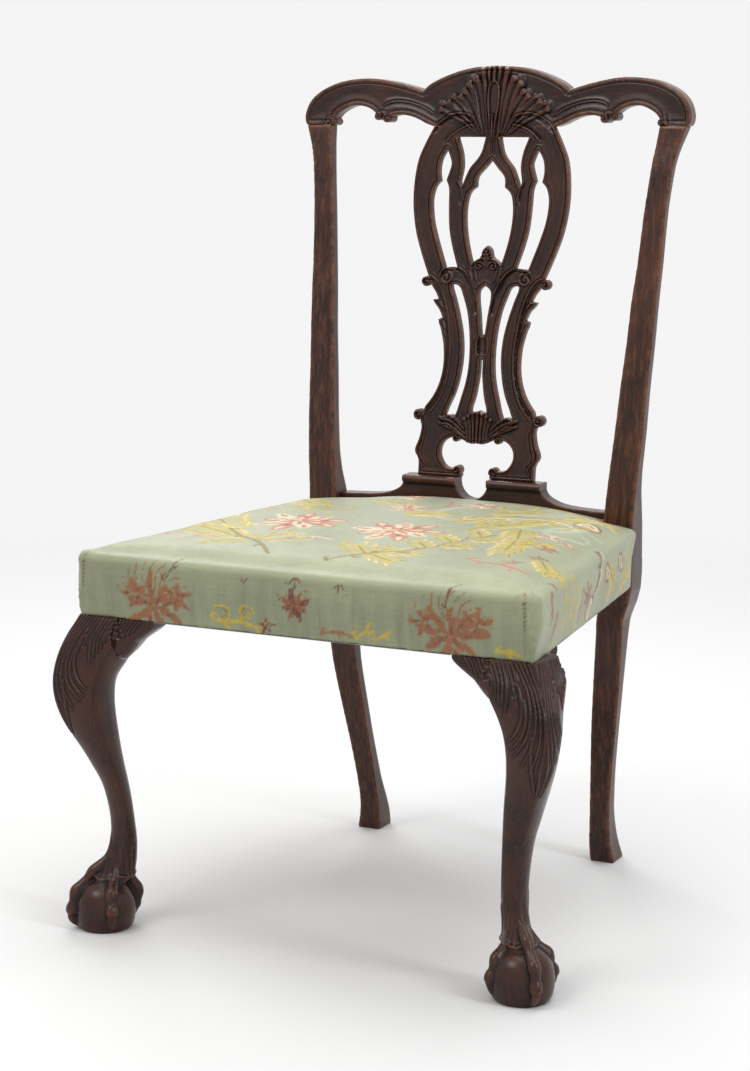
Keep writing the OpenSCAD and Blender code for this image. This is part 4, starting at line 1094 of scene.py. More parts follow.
def both_laps(laps: Sequence[Overlap]) -> list[Overlap]:
    """Overlaps of one half and their mirrored copies, the upper strap kept."""
    other = [Overlap(mirrored(lap.line)[::-1], lap.dip, lap.fade) for lap in laps]
    return [*laps, *other]


def scroll(centre: tuple[float, float], radius: float, start: float, turns: float,
           width: float, height: float) -> Ridge:
    """A rolled scroll end.

    Args:
        centre: Its middle.
        radius: Radius at its outer end.
        start: Direction of the outer end in degrees.
        turns: Turns inwards, negative for clockwise.
        width: Half-width of the rolled band at the outer end.
        height: Height of the band.

    Returns:
        The ridge of the scroll.
    """
    line = []
    for i in range(int(abs(turns) * 14) + 2):
        t = i / (abs(turns) * 14 + 1)
        angle = math.radians(start) + turns * math.tau * t
        r = radius * (1.0 - 0.86 * t)
        line.append((centre[0] + r * math.cos(angle), centre[1] + r * math.sin(angle)))
    return Ridge(line, (width, width * 0.8, width * 0.7, width * 0.9), height, 0.8)


def frond(spine: Sequence, spread: Sequence[float], flutes: int, height: float,
          body: float) -> list[Ridge]:
    """A carved leaf of a shell: a low body with flutes that curl at the tip.

    Args:
        spine: Middle line, from root to tip.
        spread: Half-width of the leaf from root to tip.
        flutes: Number of flutes side by side.
        height: Height of a flute over the body.
        body: Height of the body.

    Returns:
        The leaf's ridges.
    """
    line = spline(spine, 2.0)
    way = np.gradient(line, axis=0)
    way /= np.linalg.norm(way, axis=1)[:, None]
    across = np.column_stack([-way[:, 1], way[:, 0]])
    share = np.linspace(0.0, 1.0, len(line))
    wide = np.interp(share, np.linspace(0.0, 1.0, len(spread)), spread)
    ridges = [Ridge(line[::2].tolist(), [w * 1.05 for w in spread], body)]
    for k in range(flutes):
        lean = (2.0 * k / (flutes - 1) - 1.0) if flutes > 1 else 0.0
        stop = len(line) - int(abs(lean) * 0.1 * len(line))
        path = (line + across * (lean * 0.68 * wide)[:, None])[:stop]
        width = [w / flutes * 1.32 for w in spread]
        ridges.append(Ridge(path[::2].tolist(), width, body + height))
        tip, ahead = path[-1], way[stop - 1]
        for turn in (-0.55, 0.55):
            curl = np.array([ahead[0] - turn * ahead[1], ahead[1] + turn * ahead[0]])
            ridges.append(Ridge([tip - ahead * 2.0, tip + curl * 2.6],
                                (width[-1] * 0.7, width[-1] * 0.85), body + height * 1.5, 0.6))
    return ridges


# Places are x and z on the back's face. The upper strap is at a line's left.
STRAP_LAPS = [
    Overlap([(9.0, 672), (9.8, 684), (12.5, 696), (16.5, 707), (22, 717), (29, 725.3),
             (38, 730.3), (46, 731.3), (54, 729), (59, 723.5), (60.5, 716)], 2.4, 8.0),
    Overlap([(71.5, 549), (65, 557), (56.5, 568), (49.8, 583), (45.8, 600), (44, 618),
             (44.6, 638), (46.8, 657), (50.2, 677), (55, 693), (60.2, 705), (66, 713.6),
             (72.5, 718.2), (80, 719)], 1.7, 7.0),
    Overlap([(52, 540.5), (44, 543), (36, 541), (28, 534)], 1.2, 5.0),
    Overlap([(37, 806), (38.6, 819), (41.5, 829), (47, 838.5)], 1.6, 6.0),
    Overlap([(0.4, 864), (0.4, 878), (0.4, 892)], 1.2, 4.0),
    Overlap([(3.0, 622), (5.6, 629), (6.3, 637), (5.6, 644), (3.2, 650)][::-1], 2.6, 9.0),
    Overlap([(70.5, 484), (70.8, 491), (76.2, 497.5), (77.6, 506), (75.0, 516), (73.0, 527),
             (71.5, 541)], 0.7, 4.0),
]
LOOP_LAPS = [
    Overlap([(24, 909.5), (34, 914.5), (45, 916.3), (56, 914.6), (66, 909), (74, 902.5),
             (81.5, 893)], 2.0, 6.0),
    Overlap([(66, 881), (56.5, 892), (44.5, 900.3), (32.5, 904.6), (21, 905.5)], 1.9, 5.0),
]
STRAP_RIDGES = [
    scroll((52.5, 718.6), 8.4, 120.0, 1.25, 2.5, 2.4),
    scroll((79.3, 713.2), 5.2, 95.0, -1.1, 1.9, 1.8),
    scroll((80.6, 550.4), 6.0, 190.0, 1.2, 2.2, 2.0),
    scroll((27.8, 524.4), 5.0, 170.0, 1.15, 1.8, 1.8),
    scroll((24.2, 484.8), 5.6, 200.0, -1.2, 2.0, 2.0),
    scroll((9.4, 734.0), 5.8, 150.0, -1.2, 2.0, 2.6),
    Ridge([(45.5, 728), (38, 726.5), (31, 721.5), (26, 714.5), (22.4, 706)], (0.9, 1.6, 1.3, 0.6),
          1.1),
    Ridge([(58, 727), (50, 729.5), (42, 728.4)], (1.8, 1.5, 0.8), 1.2),
    Ridge([(3.0, 741.5), (9.5, 742.2), (16.0, 740), (19.8, 733.5), (19.4, 724), (16.0, 714),
           (11.6, 706)], (1.0, 1.8, 1.9, 1.5, 0.8), 2.2),
    Ridge([(14.2, 728), (12.4, 719), (8.8, 712)], (1.6, 1.3, 0.7), 1.5),
    Ridge([(0, 736), (0, 748), (0, 757)], (4.6, 3.4, 1.2), 2.0),
    Ridge([(1.8, 742), (6.6, 745.5)], (1.6, 1.1), 3.0, 0.8),
    Ridge([(1.5, 747), (5.2, 750.5)], (1.5, 1.0), 3.0, 0.8),
    Ridge([(1.0, 751), (3.4, 754.6)], (1.3, 0.9), 2.8, 0.8),
    Ridge([(67.5, 692.8), (60.5, 690), (55.5, 683)], (1.1, 2.3, 1.3), 1.3),
    Ridge([(65.4, 688.5), (60.0, 683), (55.5, 675)], (0.7, 1.6, 0.9), 0.9),
    Ridge([(60.0, 668.0), (54.5, 664.5), (50.2, 656)], (1.1, 2.2, 1.2), 1.2),
    Ridge([(58.6, 663.5), (53.4, 657), (49.8, 648)], (0.7, 1.5, 0.9), 0.9),
]
for rib, (foot_x, top_x, top_z) in enumerate([(0.0, 0.0, 557.5), (4.6, 6.2, 556.6),
                                              (8.8, 12.0, 554.2), (12.6, 17.2, 551.0)]):
    STRAP_RIDGES.append(Ridge([(foot_x, 520.5), (foot_x * 1.04, 534), (top_x, top_z - 3.0)],
                              (1.9, 2.2, 3.1), 3.7 - 0.35 * rib))
    STRAP_RIDGES.append(Ridge([(top_x, top_z - 3.4), (top_x * 1.01, top_z - 2.2)], (3.0, 2.8), 4.6, 0.6))
for foot, bend, tip, size in (((15.0, 524.5), (27, 532.0), (50.5, 541.5), 3.3),
                              ((16.5, 530.0), (30, 540.0), (51.5, 548.6), 3.1),
                              ((18.0, 536.0), (27, 545.0), (37.0, 551.6), 2.7),
                              ((17.0, 527.0), (30, 535.8), (46.0, 544.6), 1.5)):
    STRAP_RIDGES.append(Ridge([foot, bend, tip], (size * 0.55, size, size * 0.8), 2.9))

SHELL_RIDGES = [
    *frond([(11, 894), (16.5, 914), (20.5, 934), (25.5, 949), (31.0, 957.5)],
           (2.6, 4.8, 6.4, 7.2, 8.0), 2, 2.5, 3.6),
    *frond([(14, 893), (22, 911), (30.5, 926), (37.5, 936), (43.0, 942)],
           (2.2, 3.8, 5.4, 6.0, 6.6), 2, 2.3, 3.0),
    *frond([(17, 893), (28, 907.5), (40, 920), (51, 929.5), (59.0, 936)],
           (2.2, 3.6, 5.0, 6.0, 6.6), 2, 2.2, 2.8),
    *frond([(21, 895), (34, 906), (48, 915.6), (61, 922.8), (71.5, 927.3)],
           (2.0, 3.2, 4.6, 5.6, 5.8), 2, 2.0, 2.4),
    Ridge([(6.5, 891), (8.4, 912), (10.8, 934), (13.0, 953), (15.4, 969)], (2.0, 2.3, 3.0, 3.9, 4.4),
          7.0),
    Ridge([(11.0, 905), (14.6, 928), (18.0, 946), (20.0, 957)], (1.2, 1.8, 2.2, 1.5), 5.6),
    Ridge([(2.4, 890), (3.4, 906), (5.6, 920), (7.0, 938), (5.4, 951), (1.4, 956.5)],
          (1.7, 1.9, 1.7, 1.9, 2.0, 1.8), 7.6),
    Ridge([(5.8, 954), (7.0, 964), (6.6, 971.5)], (1.8, 2.8, 3.3), 8.0),
]
SHELL_MIDDLE = [
    Ridge([(0, 890), (0, 904), (0, 918)], (2.2, 2.0, 1.2), 8.6),
    Ridge([(0, 955), (0, 964), (0, 972.5)], (2.6, 3.2, 3.6), 8.8),
    Ridge([(0, 893), (0, 930), (0, 962)], (9.0, 11.5, 13.0), 4.4),
]
EAR_RIDGES = [
    Ridge([(224.5, 903.5), (221.0, 910), (219.6, 917)], (2.8, 2.4, 1.2), 2.4),
    Ridge([(229.5, 903.5), (227.5, 910), (227.0, 915.5)], (1.8, 1.6, 0.8), 1.6),
    scroll((216.4, 907.2), 3.6, 80.0, -1.0, 1.6, 2.2),
    scroll((154.8, 914.0), 4.0, 100.0, 1.0, 1.7, 2.2),
    scroll((143.6, 911.4), 4.2, 80.0, -1.0, 1.8, 2.2),
]
ARCH_LAPS = [
    Overlap([(149.2, 920.6), (146.2, 925), (141, 928.4), (131, 930.2), (118, 929.4), (104, 926),
             (90, 920.2), (77, 911.5)][::-1], 0.9, 4.0),
]


@dataclass
class Back:
    """Crest rail and pierced splat, carved on their front."""

    rake: float = 5.9108
    splat_foot: tuple[float, float] = (463.0, 477.0)
    splat_thickness: float = 9.5
    crest_middle: float = 507.0
    crest_foot: float = 889.0
    crest_bend: float = 2668.83
    crest_thickness: float = 22.0
    pieces: list[bpy.types.Object] = field(default_factory=list)

    def splat_front(self, spots: Points) -> np.ndarray:
        """Depth of the splat's plain face at places on it."""
        y, z = self.splat_foot
        return y + (spots[:, 1] - z) * math.tan(math.radians(self.rake)) - PLAN_MID

    def crest_front(self, spots: Points) -> np.ndarray:
        """Depth of the crest rail's plain face, which is hollow in plan."""
        bow = self.crest_bend - np.sqrt(self.crest_bend ** 2 - spots[:, 0] ** 2)
        lean = (spots[:, 1] - self.crest_foot) * math.tan(math.radians(self.rake))
        return self.crest_middle - bow + lean - PLAN_MID

    def crest_widen(self, spots: Points) -> np.ndarray:
        """Width of the crest rail's moulding, which is slight beside the splat."""
        far = np.abs(spots[:, 0])
        beside = smoothstep((far - 70.0) / 16.0)
        high = smoothstep((spots[:, 1] - 925.0) / 14.0)
        return 1.0 + 0.62 * np.maximum(beside, high)

    def splat_joint(self, spots: Points) -> np.ndarray:
        """Says which places of the splat's outline meet the crest rail."""
        x, z = np.abs(spots[:, 0]), spots[:, 1]
        step = (np.abs(x - 52.0) < 0.4) & (z > 888.3)
        return (z > 901.5) | step | ((np.abs(z - 889.0) < 0.4) & (x < 52.4))

    def crest_joint(self, spots: Points) -> np.ndarray:
        """Says which places of the crest rail's outline meet the splat."""
        return (np.abs(spots[:, 0]) < 81.0) & (spots[:, 1] < 903.5)

    def dress(self, thing: bpy.types.Object, node: str, wood: PolishedWood) -> None:
        """Finishes a carved board and puts it in its node's place."""
        shade(thing, 50.0)
        mark_wear_and_shade(thing, 0.0009)
        thing.data.materials.append(FINISHES.get(wood))
        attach(thing, BODY)
        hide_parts(node)
        self.pieces.append(thing)
        log.info("%s: %d faces", thing.name, len(thing.data.polygons))

    def build(self) -> None:
        """Carves the splat and the crest rail."""
        back = (0.0, math.cos(math.radians(self.rake)), -math.sin(math.radians(self.rake)))
        splat = CarvedBoard("carved_splat", "splat", back, self.splat_front,
                            self.splat_thickness, both(STRAP_RIDGES), both_laps([*STRAP_LAPS, *LOOP_LAPS]),
                            joint=self.splat_joint)
        self.dress(splat.build(), "splat", UPRIGHT_WOOD)
        crest = CarvedBoard("carved_crest_rail", "crest_rail", back, self.crest_front,
                            self.crest_thickness, both([*SHELL_RIDGES, *EAR_RIDGES]) + SHELL_MIDDLE,
                            both_laps([*LOOP_LAPS, *ARCH_LAPS]), widen=self.crest_widen,
                            joint=self.crest_joint, step=1.5)
        self.dress(crest.build(), "crest_rail", CROSS_WOOD)
# legs

# Front leg, drawn on the diagonal through its corner of the seat. Rows give the
# height as a share of the seat's underside, then how far the leg reaches out,
# in and across as shares of its post's width, and the squareness, from 1 for a
# square to 2 for round.
LEG_SHARES = [(0.125, 0.3, -0.42, 0.3, 2.0), (0.155, 0.3, -0.76, 0.409, 2.0),
              (0.185, 0.12, -0.831, 0.333, 2.0), (0.22, -0.06, -0.862, 0.311, 2.0),
              (0.26, -0.18, -0.88, 0.324, 1.9), (0.3, -0.22, -0.86, 0.331, 1.85),
              (0.355, -0.2, -0.811, 0.351, 1.75), (0.41, -0.12, -0.751, 0.376, 1.68),
              (0.465, 0.011, -0.671, 0.411, 1.6), (0.52, 0.24, -0.58, 0.464, 1.55),
              (0.575, 0.491, -0.5, 0.516, 1.5), (0.63, 0.771, -0.436, 0.556, 1.48),
              (0.685, 1.02, -0.38, 0.6, 1.45), (0.74, 1.16, -0.36, 0.651, 1.42),
              (0.795, 1.191, -0.42, 0.72, 1.4), (0.845, 1.131, -0.68, 0.811, 1.33),
              (0.89, 1.011, -0.9, 0.933, 1.25), (0.935, 0.831, -0.971, 1.018, 1.2),
              (0.97, 0.651, -0.98, 0.973, 1.15), (1.0, 0.491, -0.98, 0.867, 1.12)]
# Middle line of each claw: way out from the ball's axis, height, half thickness
# across and in depth, and how far it has moved from the ankle to the ball
FRONT_TALON = [(-9.6, 112.0, 1.8, 1.6, 1.0), (-8.6, 99.0, 2.8, 2.3, 1.0), (-6.4, 88.0, 3.9, 3.2, 1.0),
               (-3.0, 80.0, 5.2, 4.4, 1.0), (3.5, 73.6, 6.2, 5.6, 1.0), (13.6, 65.8, 6.7, 6.3, 1.0),
               (19.3, 58.8, 5.6, 5.0, 1.0), (27.2, 50.6, 6.4, 6.0, 1.0), (33.2, 44.4, 7.4, 7.1, 1.0),
               (35.5, 38.0, 6.2, 5.7, 1.0), (36.2, 32.0, 5.8, 5.4, 1.0), (38.0, 25.4, 7.2, 7.0, 1.0),
               (38.4, 20.4, 7.0, 6.7, 1.0), (38.5, 18.4, 5.1, 4.9, 1.0), (38.2, 13.6, 4.9, 4.7, 1.0),
               (34.2, 8.4, 4.1, 4.0, 1.0), (30.2, 4.2, 2.4, 2.4, 1.0)]
SIDE_TALON = [(13.2, 112.0, 1.6, 1.6, 0.0), (12.6, 99.0, 2.6, 2.2, 0.0), (11.4, 88.0, 3.6, 3.0, 0.0),
              (10.2, 78.0, 4.8, 4.0, 0.12), (10.6, 69.5, 5.8, 5.0, 0.35), (15.4, 60.0, 6.0, 5.4, 0.6),
              (22.2, 52.4, 6.2, 5.8, 0.8), (28.8, 46.4, 7.3, 7.0, 0.95), (30.8, 41.0, 6.4, 6.0, 1.0),
              (32.0, 35.0, 5.8, 5.3, 1.0), (35.2, 28.4, 7.0, 6.7, 1.0), (35.6, 23.4, 6.9, 6.6, 1.0),
              (35.8, 21.2, 5.1, 4.9, 1.0), (34.0, 15.4, 4.8, 4.6, 1.0), (31.0, 9.6, 4.0, 3.9, 1.0),
              (28.0, 5.0, 2.4, 2.4, 1.0)]
REAR_TALON = [(35.8, 112.0, 1.8, 1.8, 1.0), (35.9, 99.0, 2.8, 2.4, 1.0), (35.2, 88.0, 3.9, 3.0, 1.0),
              (33.6, 78.0, 5.0, 4.2, 1.0), (31.4, 69.0, 5.8, 5.2, 1.0), (29.0, 58.4, 5.8, 5.6, 1.0),
              (33.0, 49.6, 6.4, 6.1, 1.0), (37.0, 43.0, 7.2, 6.9, 1.0), (38.4, 37.4, 7.0, 6.9, 1.0),
              (37.2, 29.0, 5.8, 5.6, 1.0), (35.6, 22.0, 6.2, 6.0, 1.0), (34.6, 19.0, 4.9, 4.8, 1.0),
              (31.6, 13.0, 4.4, 4.3, 1.0), (28.2, 7.0, 3.0, 3.0, 1.0)]
BALL = [(0.0, 0.0), (29.4, 0.0), (32.6, 5.6), (34.5, 13.9), (35.0, 23.2), (33.8, 33.6),
        (29.6, 44.0), (21.7, 52.2), (11.9, 56.8), (0.0, 58.0)]


@dataclass(frozen=True)
class Lock:
    """One carved lock on the knee, from its root to its tip, in millimetres across and up the knee."""

    root: tuple[float, float]
    tip: tuple[float, float]
    bow: float = 0.0
    width: float = 1.5
    hooked: bool = False

    def line(self) -> list[tuple[float, float]]:
        """Places along the lock, with the small turned-over root of a hooked one first."""
        share = np.linspace(0.0, 1.0, 8)
        across = self.root[0] + (self.tip[0] - self.root[0]) * share + self.bow * np.sin(math.pi * share)
        up = self.root[1] + (self.tip[1] - self.root[1]) * share
        x, z = self.root
        turned = [(x - 4.2, z - 3.0), (x - 2.2, z + 2.0)] if self.hooked else []
        return turned + list(zip(across, up))


def knee_locks() -> list[Lock]:
    """Locks of one half of the knee, struck at an even pitch along the rail.

    Over the bracket they are short and lean with its edge, on the shoulder they grow, and
    on the ridge they are long, bow forwards and sweep back at their tips.

    Returns:
        The locks from the bracket's end to the leg's ridge, and then those that spring lower down.
    """
    rail, first, pitch = 363.0, -57.0, 3.6
    found = []
    for count in (0, 1, 2, 3, 5, 6, 7, 8):
        root = first + count * pitch
        length = 16.0 + 3.2 * count + 0.16 * count ** 2
        lean = 5.5 * math.cos(math.pi * count / 10)
        found.append(Lock((root, rail), (root + lean, rail - length), 0.6, 1.3 + 0.04 * count))
    for count, length in ((4, 8.0), (9, 34.0), (10, 17.0)):
        root = first + count * pitch
        found.append(Lock((root, rail), (root, rail - length), 0.4, 1.4))
    for count in range(4):
        root = first + (11 + count) * pitch
        tip = (root - 9.0 + 2.8 * count, rail - 95.0 - 8.5 * count)
        found.append(Lock((root, rail), tip, 9.0 - count, 1.75))
    found += [Lock((-40.5, 349.0), (-41.5, 334.0), 0.8, 1.7, hooked=True),
              Lock((-20.5, 342.0), (-31.0, 283.0), 5.5, 1.9, hooked=True),
              Lock((-17.0, 328.0), (-29.0, 275.0), 4.5, 1.7),
              Lock((-13.0, 292.0), (-1.5, 224.0), -4.5, 1.7), Lock((-3.0, 269.0), (-1.0, 225.0), -1.5, 1.4)]
    return found


# Locks of the knee's leaf on the half towards the front rail: the way across
# the diagonal, negative to the bracket's end, and the height
LOCKS = [(lock.line(), lock.width) for lock in knee_locks()]
# The same half as it is on the side of the leg, where the locks lie closer
SIDE_LOCKS = [([(-a * 0.94 if a < -20 else -a, z) for a, z in line], w * 0.92) for line, w in LOCKS]


@dataclass
class FrontLeg:
    """Cabriole leg with a carved knee, and a foot that grips a ball."""

    side: Side
    corner: tuple[float, float] = (258.0, 16.5)
    post: tuple[float, float, float, float] = (225.18, 2.7, 47.55, 0.131236)
    post_width: float = 45.0
    post_z: tuple[float, float] = (330.0, 415.6)
    under: float = 364.5
    around: int = 96
    voxel: float = 1.45
    lock_height: float = 1.9
    groove: float = 1.15
    block_face: tuple[float, float] = (225.03, 47.7)
    tuck: float = 6.0
    cheek: tuple[float, float] = (226.0, 0.5)
    cheek_rows: tuple[tuple[float, float], ...] = ((332.0, 1.5), (341.0, 6.3), (350.0, 5.6), (364.2, 3.6))
    ball_shift: float = -1.485
    ankle_shift: float = -19.98
    talons: dict[float, list] = field(default_factory=lambda: {
        0.0: FRONT_TALON, 90.0: SIDE_TALON, 180.0: REAR_TALON, 270.0: SIDE_TALON})

    def on_diagonal(self, out: np.ndarray, across: np.ndarray) -> Points:
        """Turns places on the leg's diagonal into x and y."""
        root = math.sqrt(0.5)
        return np.stack([self.corner[0] + (out + across) * root,
                         self.corner[1] + (across - out) * root], axis=-1)

    def rows(self) -> Points:
        """The leg's rows, with their lengths in millimetres."""
        width = self.post_width
        return np.array(LEG_SHARES) * (self.under, width, width, width, 1.0)

    def shaft(self) -> bpy.types.Object:
        """The leg from ankle to knee, smooth between its rows."""
        rows = self.rows()
        heights = np.append(np.arange(rows[0, 0], self.under, 2.0), self.under)
        path = spline(rows, 0.6)
        table = np.column_stack([np.interp(heights, path[:, 0], path[:, k]) for k in range(1, 5)])
        turn = np.linspace(0.0, math.tau, self.around, endpoint=False)
        points = []
        for z, (out, into, wide, square) in zip(heights, table):
            c = np.sign(np.cos(turn)) * np.abs(np.cos(turn)) ** (2 / square)
            s = np.sign(np.sin(turn)) * np.abs(np.sin(turn)) ** (2 / square)
            xy = self.on_diagonal((out + into) / 2 + (out - into) / 2 * c, wide * s)
            xy[:, 0] = np.maximum(xy[:, 0], self.post[0])
            xy[:, 1] = np.minimum(xy[:, 1], self.post[2])
            points.append(np.column_stack([xy, np.full(len(xy), z)]))
        return lofted(self.piece + "_shaft", points)

    @property
    def piece(self) -> str:
        """Name of the finished piece."""
        return f"carved_leg_{self.side.name.lower()}"

    def post_block(self) -> bpy.types.Object:
        """The square post above the knee, inside the seat's corner."""
        x0, y0, y1, slope = self.post
        rings = []
        for z in self.post_z:
            rings.append(np.array([(x0, y0, z), (272.75 - y0 * slope - 2.7, y0, z),
                                   (272.75 - y1 * slope - 2.7, y1, z), (x0, y1, z)]))
        return lofted(self.piece + "_post", rings)

    def ball(self) -> bpy.types.Object:
        """The ball that the foot grips."""
        line = spline(BALL[1:], 2.0)
        turn = np.linspace(0.0, math.tau, 72, endpoint=False)
        middle = self.on_diagonal(np.array(self.ball_shift), np.array(0.0))
        rings = [np.column_stack([middle[0] + max(r, 0.02) * np.cos(turn),
                                  middle[1] + max(r, 0.02) * np.sin(turn),
                                  np.full(len(turn), z)]) for r, z in line]
        return lofted(self.piece + "_ball", rings)

    def talon(self, turn: float) -> bpy.types.Object:
        """One claw, with its knuckles and its nail.

        Args:
            turn: Direction of the claw from the diagonal, in degrees.

        Returns:
            A closed tube along the claw.
        """
        rows = spline(self.talons[turn], 0.9)
        angle = math.radians(turn)
        shift = self.ball_shift + (1.0 - rows[:, 4]) * (self.ankle_shift - self.ball_shift)
        out, across = shift + rows[:, 0] * math.cos(angle), rows[:, 0] * math.sin(angle)
        middle = np.column_stack([self.on_diagonal(out, across), rows[:, 1]])
        way = np.gradient(middle, axis=0)
        way /= np.linalg.norm(way, axis=1)[:, None]
        flat = self.on_diagonal(np.array([-math.sin(angle)]), np.array([math.cos(angle)]))[0]
        beside = np.append(flat - np.array(self.corner), 0.0)
        above = np.cross(way, beside)
        above /= np.linalg.norm(above, axis=1)[:, None]
        ring = np.linspace(0.0, math.tau, 22, endpoint=False)
        rings = [m + np.cos(ring)[:, None] * beside * w + np.sin(ring)[:, None] * u * d
                 for m, u, w, d in zip(middle, above, rows[:, 2], rows[:, 3])]
        return lofted(f"{self.piece}_talon_{turn:.0f}", rings)

    def cheeks(self) -> list[bpy.types.Object]:
        """Rounds that fill the hollows between the knee and its two brackets."""
        turn = np.linspace(0.0, math.tau, 20, endpoint=False)
        found = []
        for x, y in (self.cheek, (self.corner[0] + self.corner[1] - self.cheek[1],
                                  self.corner[0] + self.corner[1] - self.cheek[0])):
            rings = [np.column_stack([x + r * np.cos(turn), y + r * np.sin(turn), np.full(len(turn), z)])
                     for z, r in self.cheek_rows]
            found.append(lofted(f"{self.piece}_cheek_{round(x)}", rings))
        return found

    def ledge(self) -> bpy.types.Object:
        """The folded edge of skin between the claws, over the ball."""
        rings = []
        table = self.rows()
        for t in np.linspace(0.0, math.tau, 120, endpoint=False):
            z = 60.5 + 1.5 * math.cos(4 * t)
            out, into, wide = (np.interp(z, table[:, 0], table[:, k]) for k in range(1, 4))
            xy = self.on_diagonal(np.array((out + into) / 2 + ((out - into) / 2 + 0.9) * math.cos(t)),
                                  np.array((wide + 0.9) * math.sin(t)))
            ray = self.on_diagonal(np.array(math.cos(t)), np.array(math.sin(t))) - self.corner
            ring = np.linspace(0.0, math.tau, 10, endpoint=False)
            rings.append(np.column_stack([xy[0] + ray[0] * 1.9 * np.cos(ring),
                                          xy[1] + ray[1] * 1.9 * np.cos(ring),
                                          z + 1.9 * np.sin(ring)]))
        return lofted(self.piece + "_ledge", rings, closed=True)

    def flutes(self, tree: BVHTree) -> list[Ridge]:
        """Small folds of skin at the ankle, between the claws.

        Args:
            tree: Surface of the leg, in millimetres.

        Returns:
            The ridges that stand out of it.
        """
        found = []
        for base in self.talons:
            for turn in (27.0, 45.0, 63.0):
                angle = math.radians(base + turn)
                line = []
                for z in (99.0, 92.0, 85.0, 78.0, 71.0, 65.0, 61.0):
                    away = self.on_diagonal(np.array(-22.0 + 60.0 * math.cos(angle)),
                                            np.array(60.0 * math.sin(angle)))
                    axis = self.on_diagonal(np.array(-16.0), np.array(0.0))
                    spot = tree.ray_cast(Vector((*away, z)), Vector((*(axis - away), 0.0)))[0]
                    if spot is not None:
                        line.append(tuple(spot))
                if len(line) > 3:
                    found.append(Ridge(line, (0.5, 1.9, 2.3, 2.2, 1.6), 1.0))
        return found

    def locks(self, tree: BVHTree) -> list[Ridge]:
        """Lays the drawn locks on the knee.

        Args:
            tree: Surface of the knee and its brackets, in millimetres.

        Returns:
            The ridges that stand out of it.
        """
        root = math.sqrt(0.5)
        inward = Vector((-root, root, 0.0))
        found = []
        for line, width in [*LOCKS, *SIDE_LOCKS]:
            laid = []
            for across, z in spline(line, 2.5):
                xy = self.on_diagonal(np.array(120.0), np.array(across))
                spot = tree.ray_cast(Vector((*xy, min(z, self.under - 0.6))), inward)[0]
                if spot is not None:
                    laid.append(tuple(spot))
            if len(laid) > 2:
                found.append(Ridge(laid, (width * 0.8, width, width, width * 0.85, 0.5),
                                   self.lock_height, 1.6, 5.0))
        return found

    def build(self) -> None:
        """Makes the leg, carves its knee and gives it its finish."""
        parts = [self.shaft(), self.post_block(), self.ball(), self.ledge()]
        parts += [self.talon(turn) for turn in self.talons] + self.cheeks()
        leg = join(parts, self.piece)
        apply_modifier(leg, "REMESH", mode="VOXEL", voxel_size=self.voxel * MM)
        relaxed(leg, 3, 0.5)
        fine_faces(leg, lambda p: (p[:, 2] > 0.222) & (p[:, 2] < 0.366)
                   & (p[:, 0] - p[:, 1] > (self.corner[0] - self.corner[1]) * MM - 0.012))
        carve(leg, self.flutes(surface_of([leg])), 0.4)
        brackets = []
        for part in ("front", "side"):
            node = f"knee_bracket_{part}_{self.side.name.lower()}"
            bracket = node_copy(node, f"carved_bracket_{part}_{self.side.name.lower()}")
            place = corners(bracket)
            place[:, 1] += PLAN_MID * MM
            place[:, 0] *= self.side.value
            set_corners(bracket, place)
            if self.side is Side.LEFT:
                bracket.data.flip_normals()
            apply_modifier(bracket, "REMESH", mode="VOXEL", voxel_size=0.0009)
            relaxed(bracket, 4, 0.5)
            self.run_under(bracket, part)
            brackets.append((bracket, node))
        tree = surface_of([leg, *[b for b, _ in brackets]])
        locks = self.locks(tree)
        for thing, node in ((leg, f"front_leg_{self.side.name.lower()}"), *brackets):
            carve(thing, locks, self.groove)
            self.set_in_place(thing)
            finish_wood(thing, UPRIGHT_WOOD, node, 0.0011)

    def run_under(self, bracket: bpy.types.Object, part: str) -> None:
        """Carries a bracket's end on under the knee, so that no gap shows.

        Args:
            bracket: The bracket, in the leg's own place.
            part: Which one it is, front or side.
        """
        place = corners(bracket)
        if part == "front":
            place[:, 0] += self.tuck * MM * smoothstep((place[:, 0] / MM - self.block_face[0] + 4.0) / 4.0)
        else:
            place[:, 1] -= self.tuck * MM * smoothstep((self.block_face[1] + 4.0 - place[:, 1] / MM) / 4.0)
        set_corners(bracket, place)

    def set_in_place(self, thing: bpy.types.Object) -> None:
        """Moves a piece from its own place into the chair's frame."""
        place = corners(thing)
        place[:, 1] -= PLAN_MID * MM
        place[:, 2] = np.maximum(place[:, 2], 0.0)
        place[:, 0] *= self.side.value
        set_corners(thing, place)
        if self.side is Side.LEFT:
            thing.data.flip_normals()


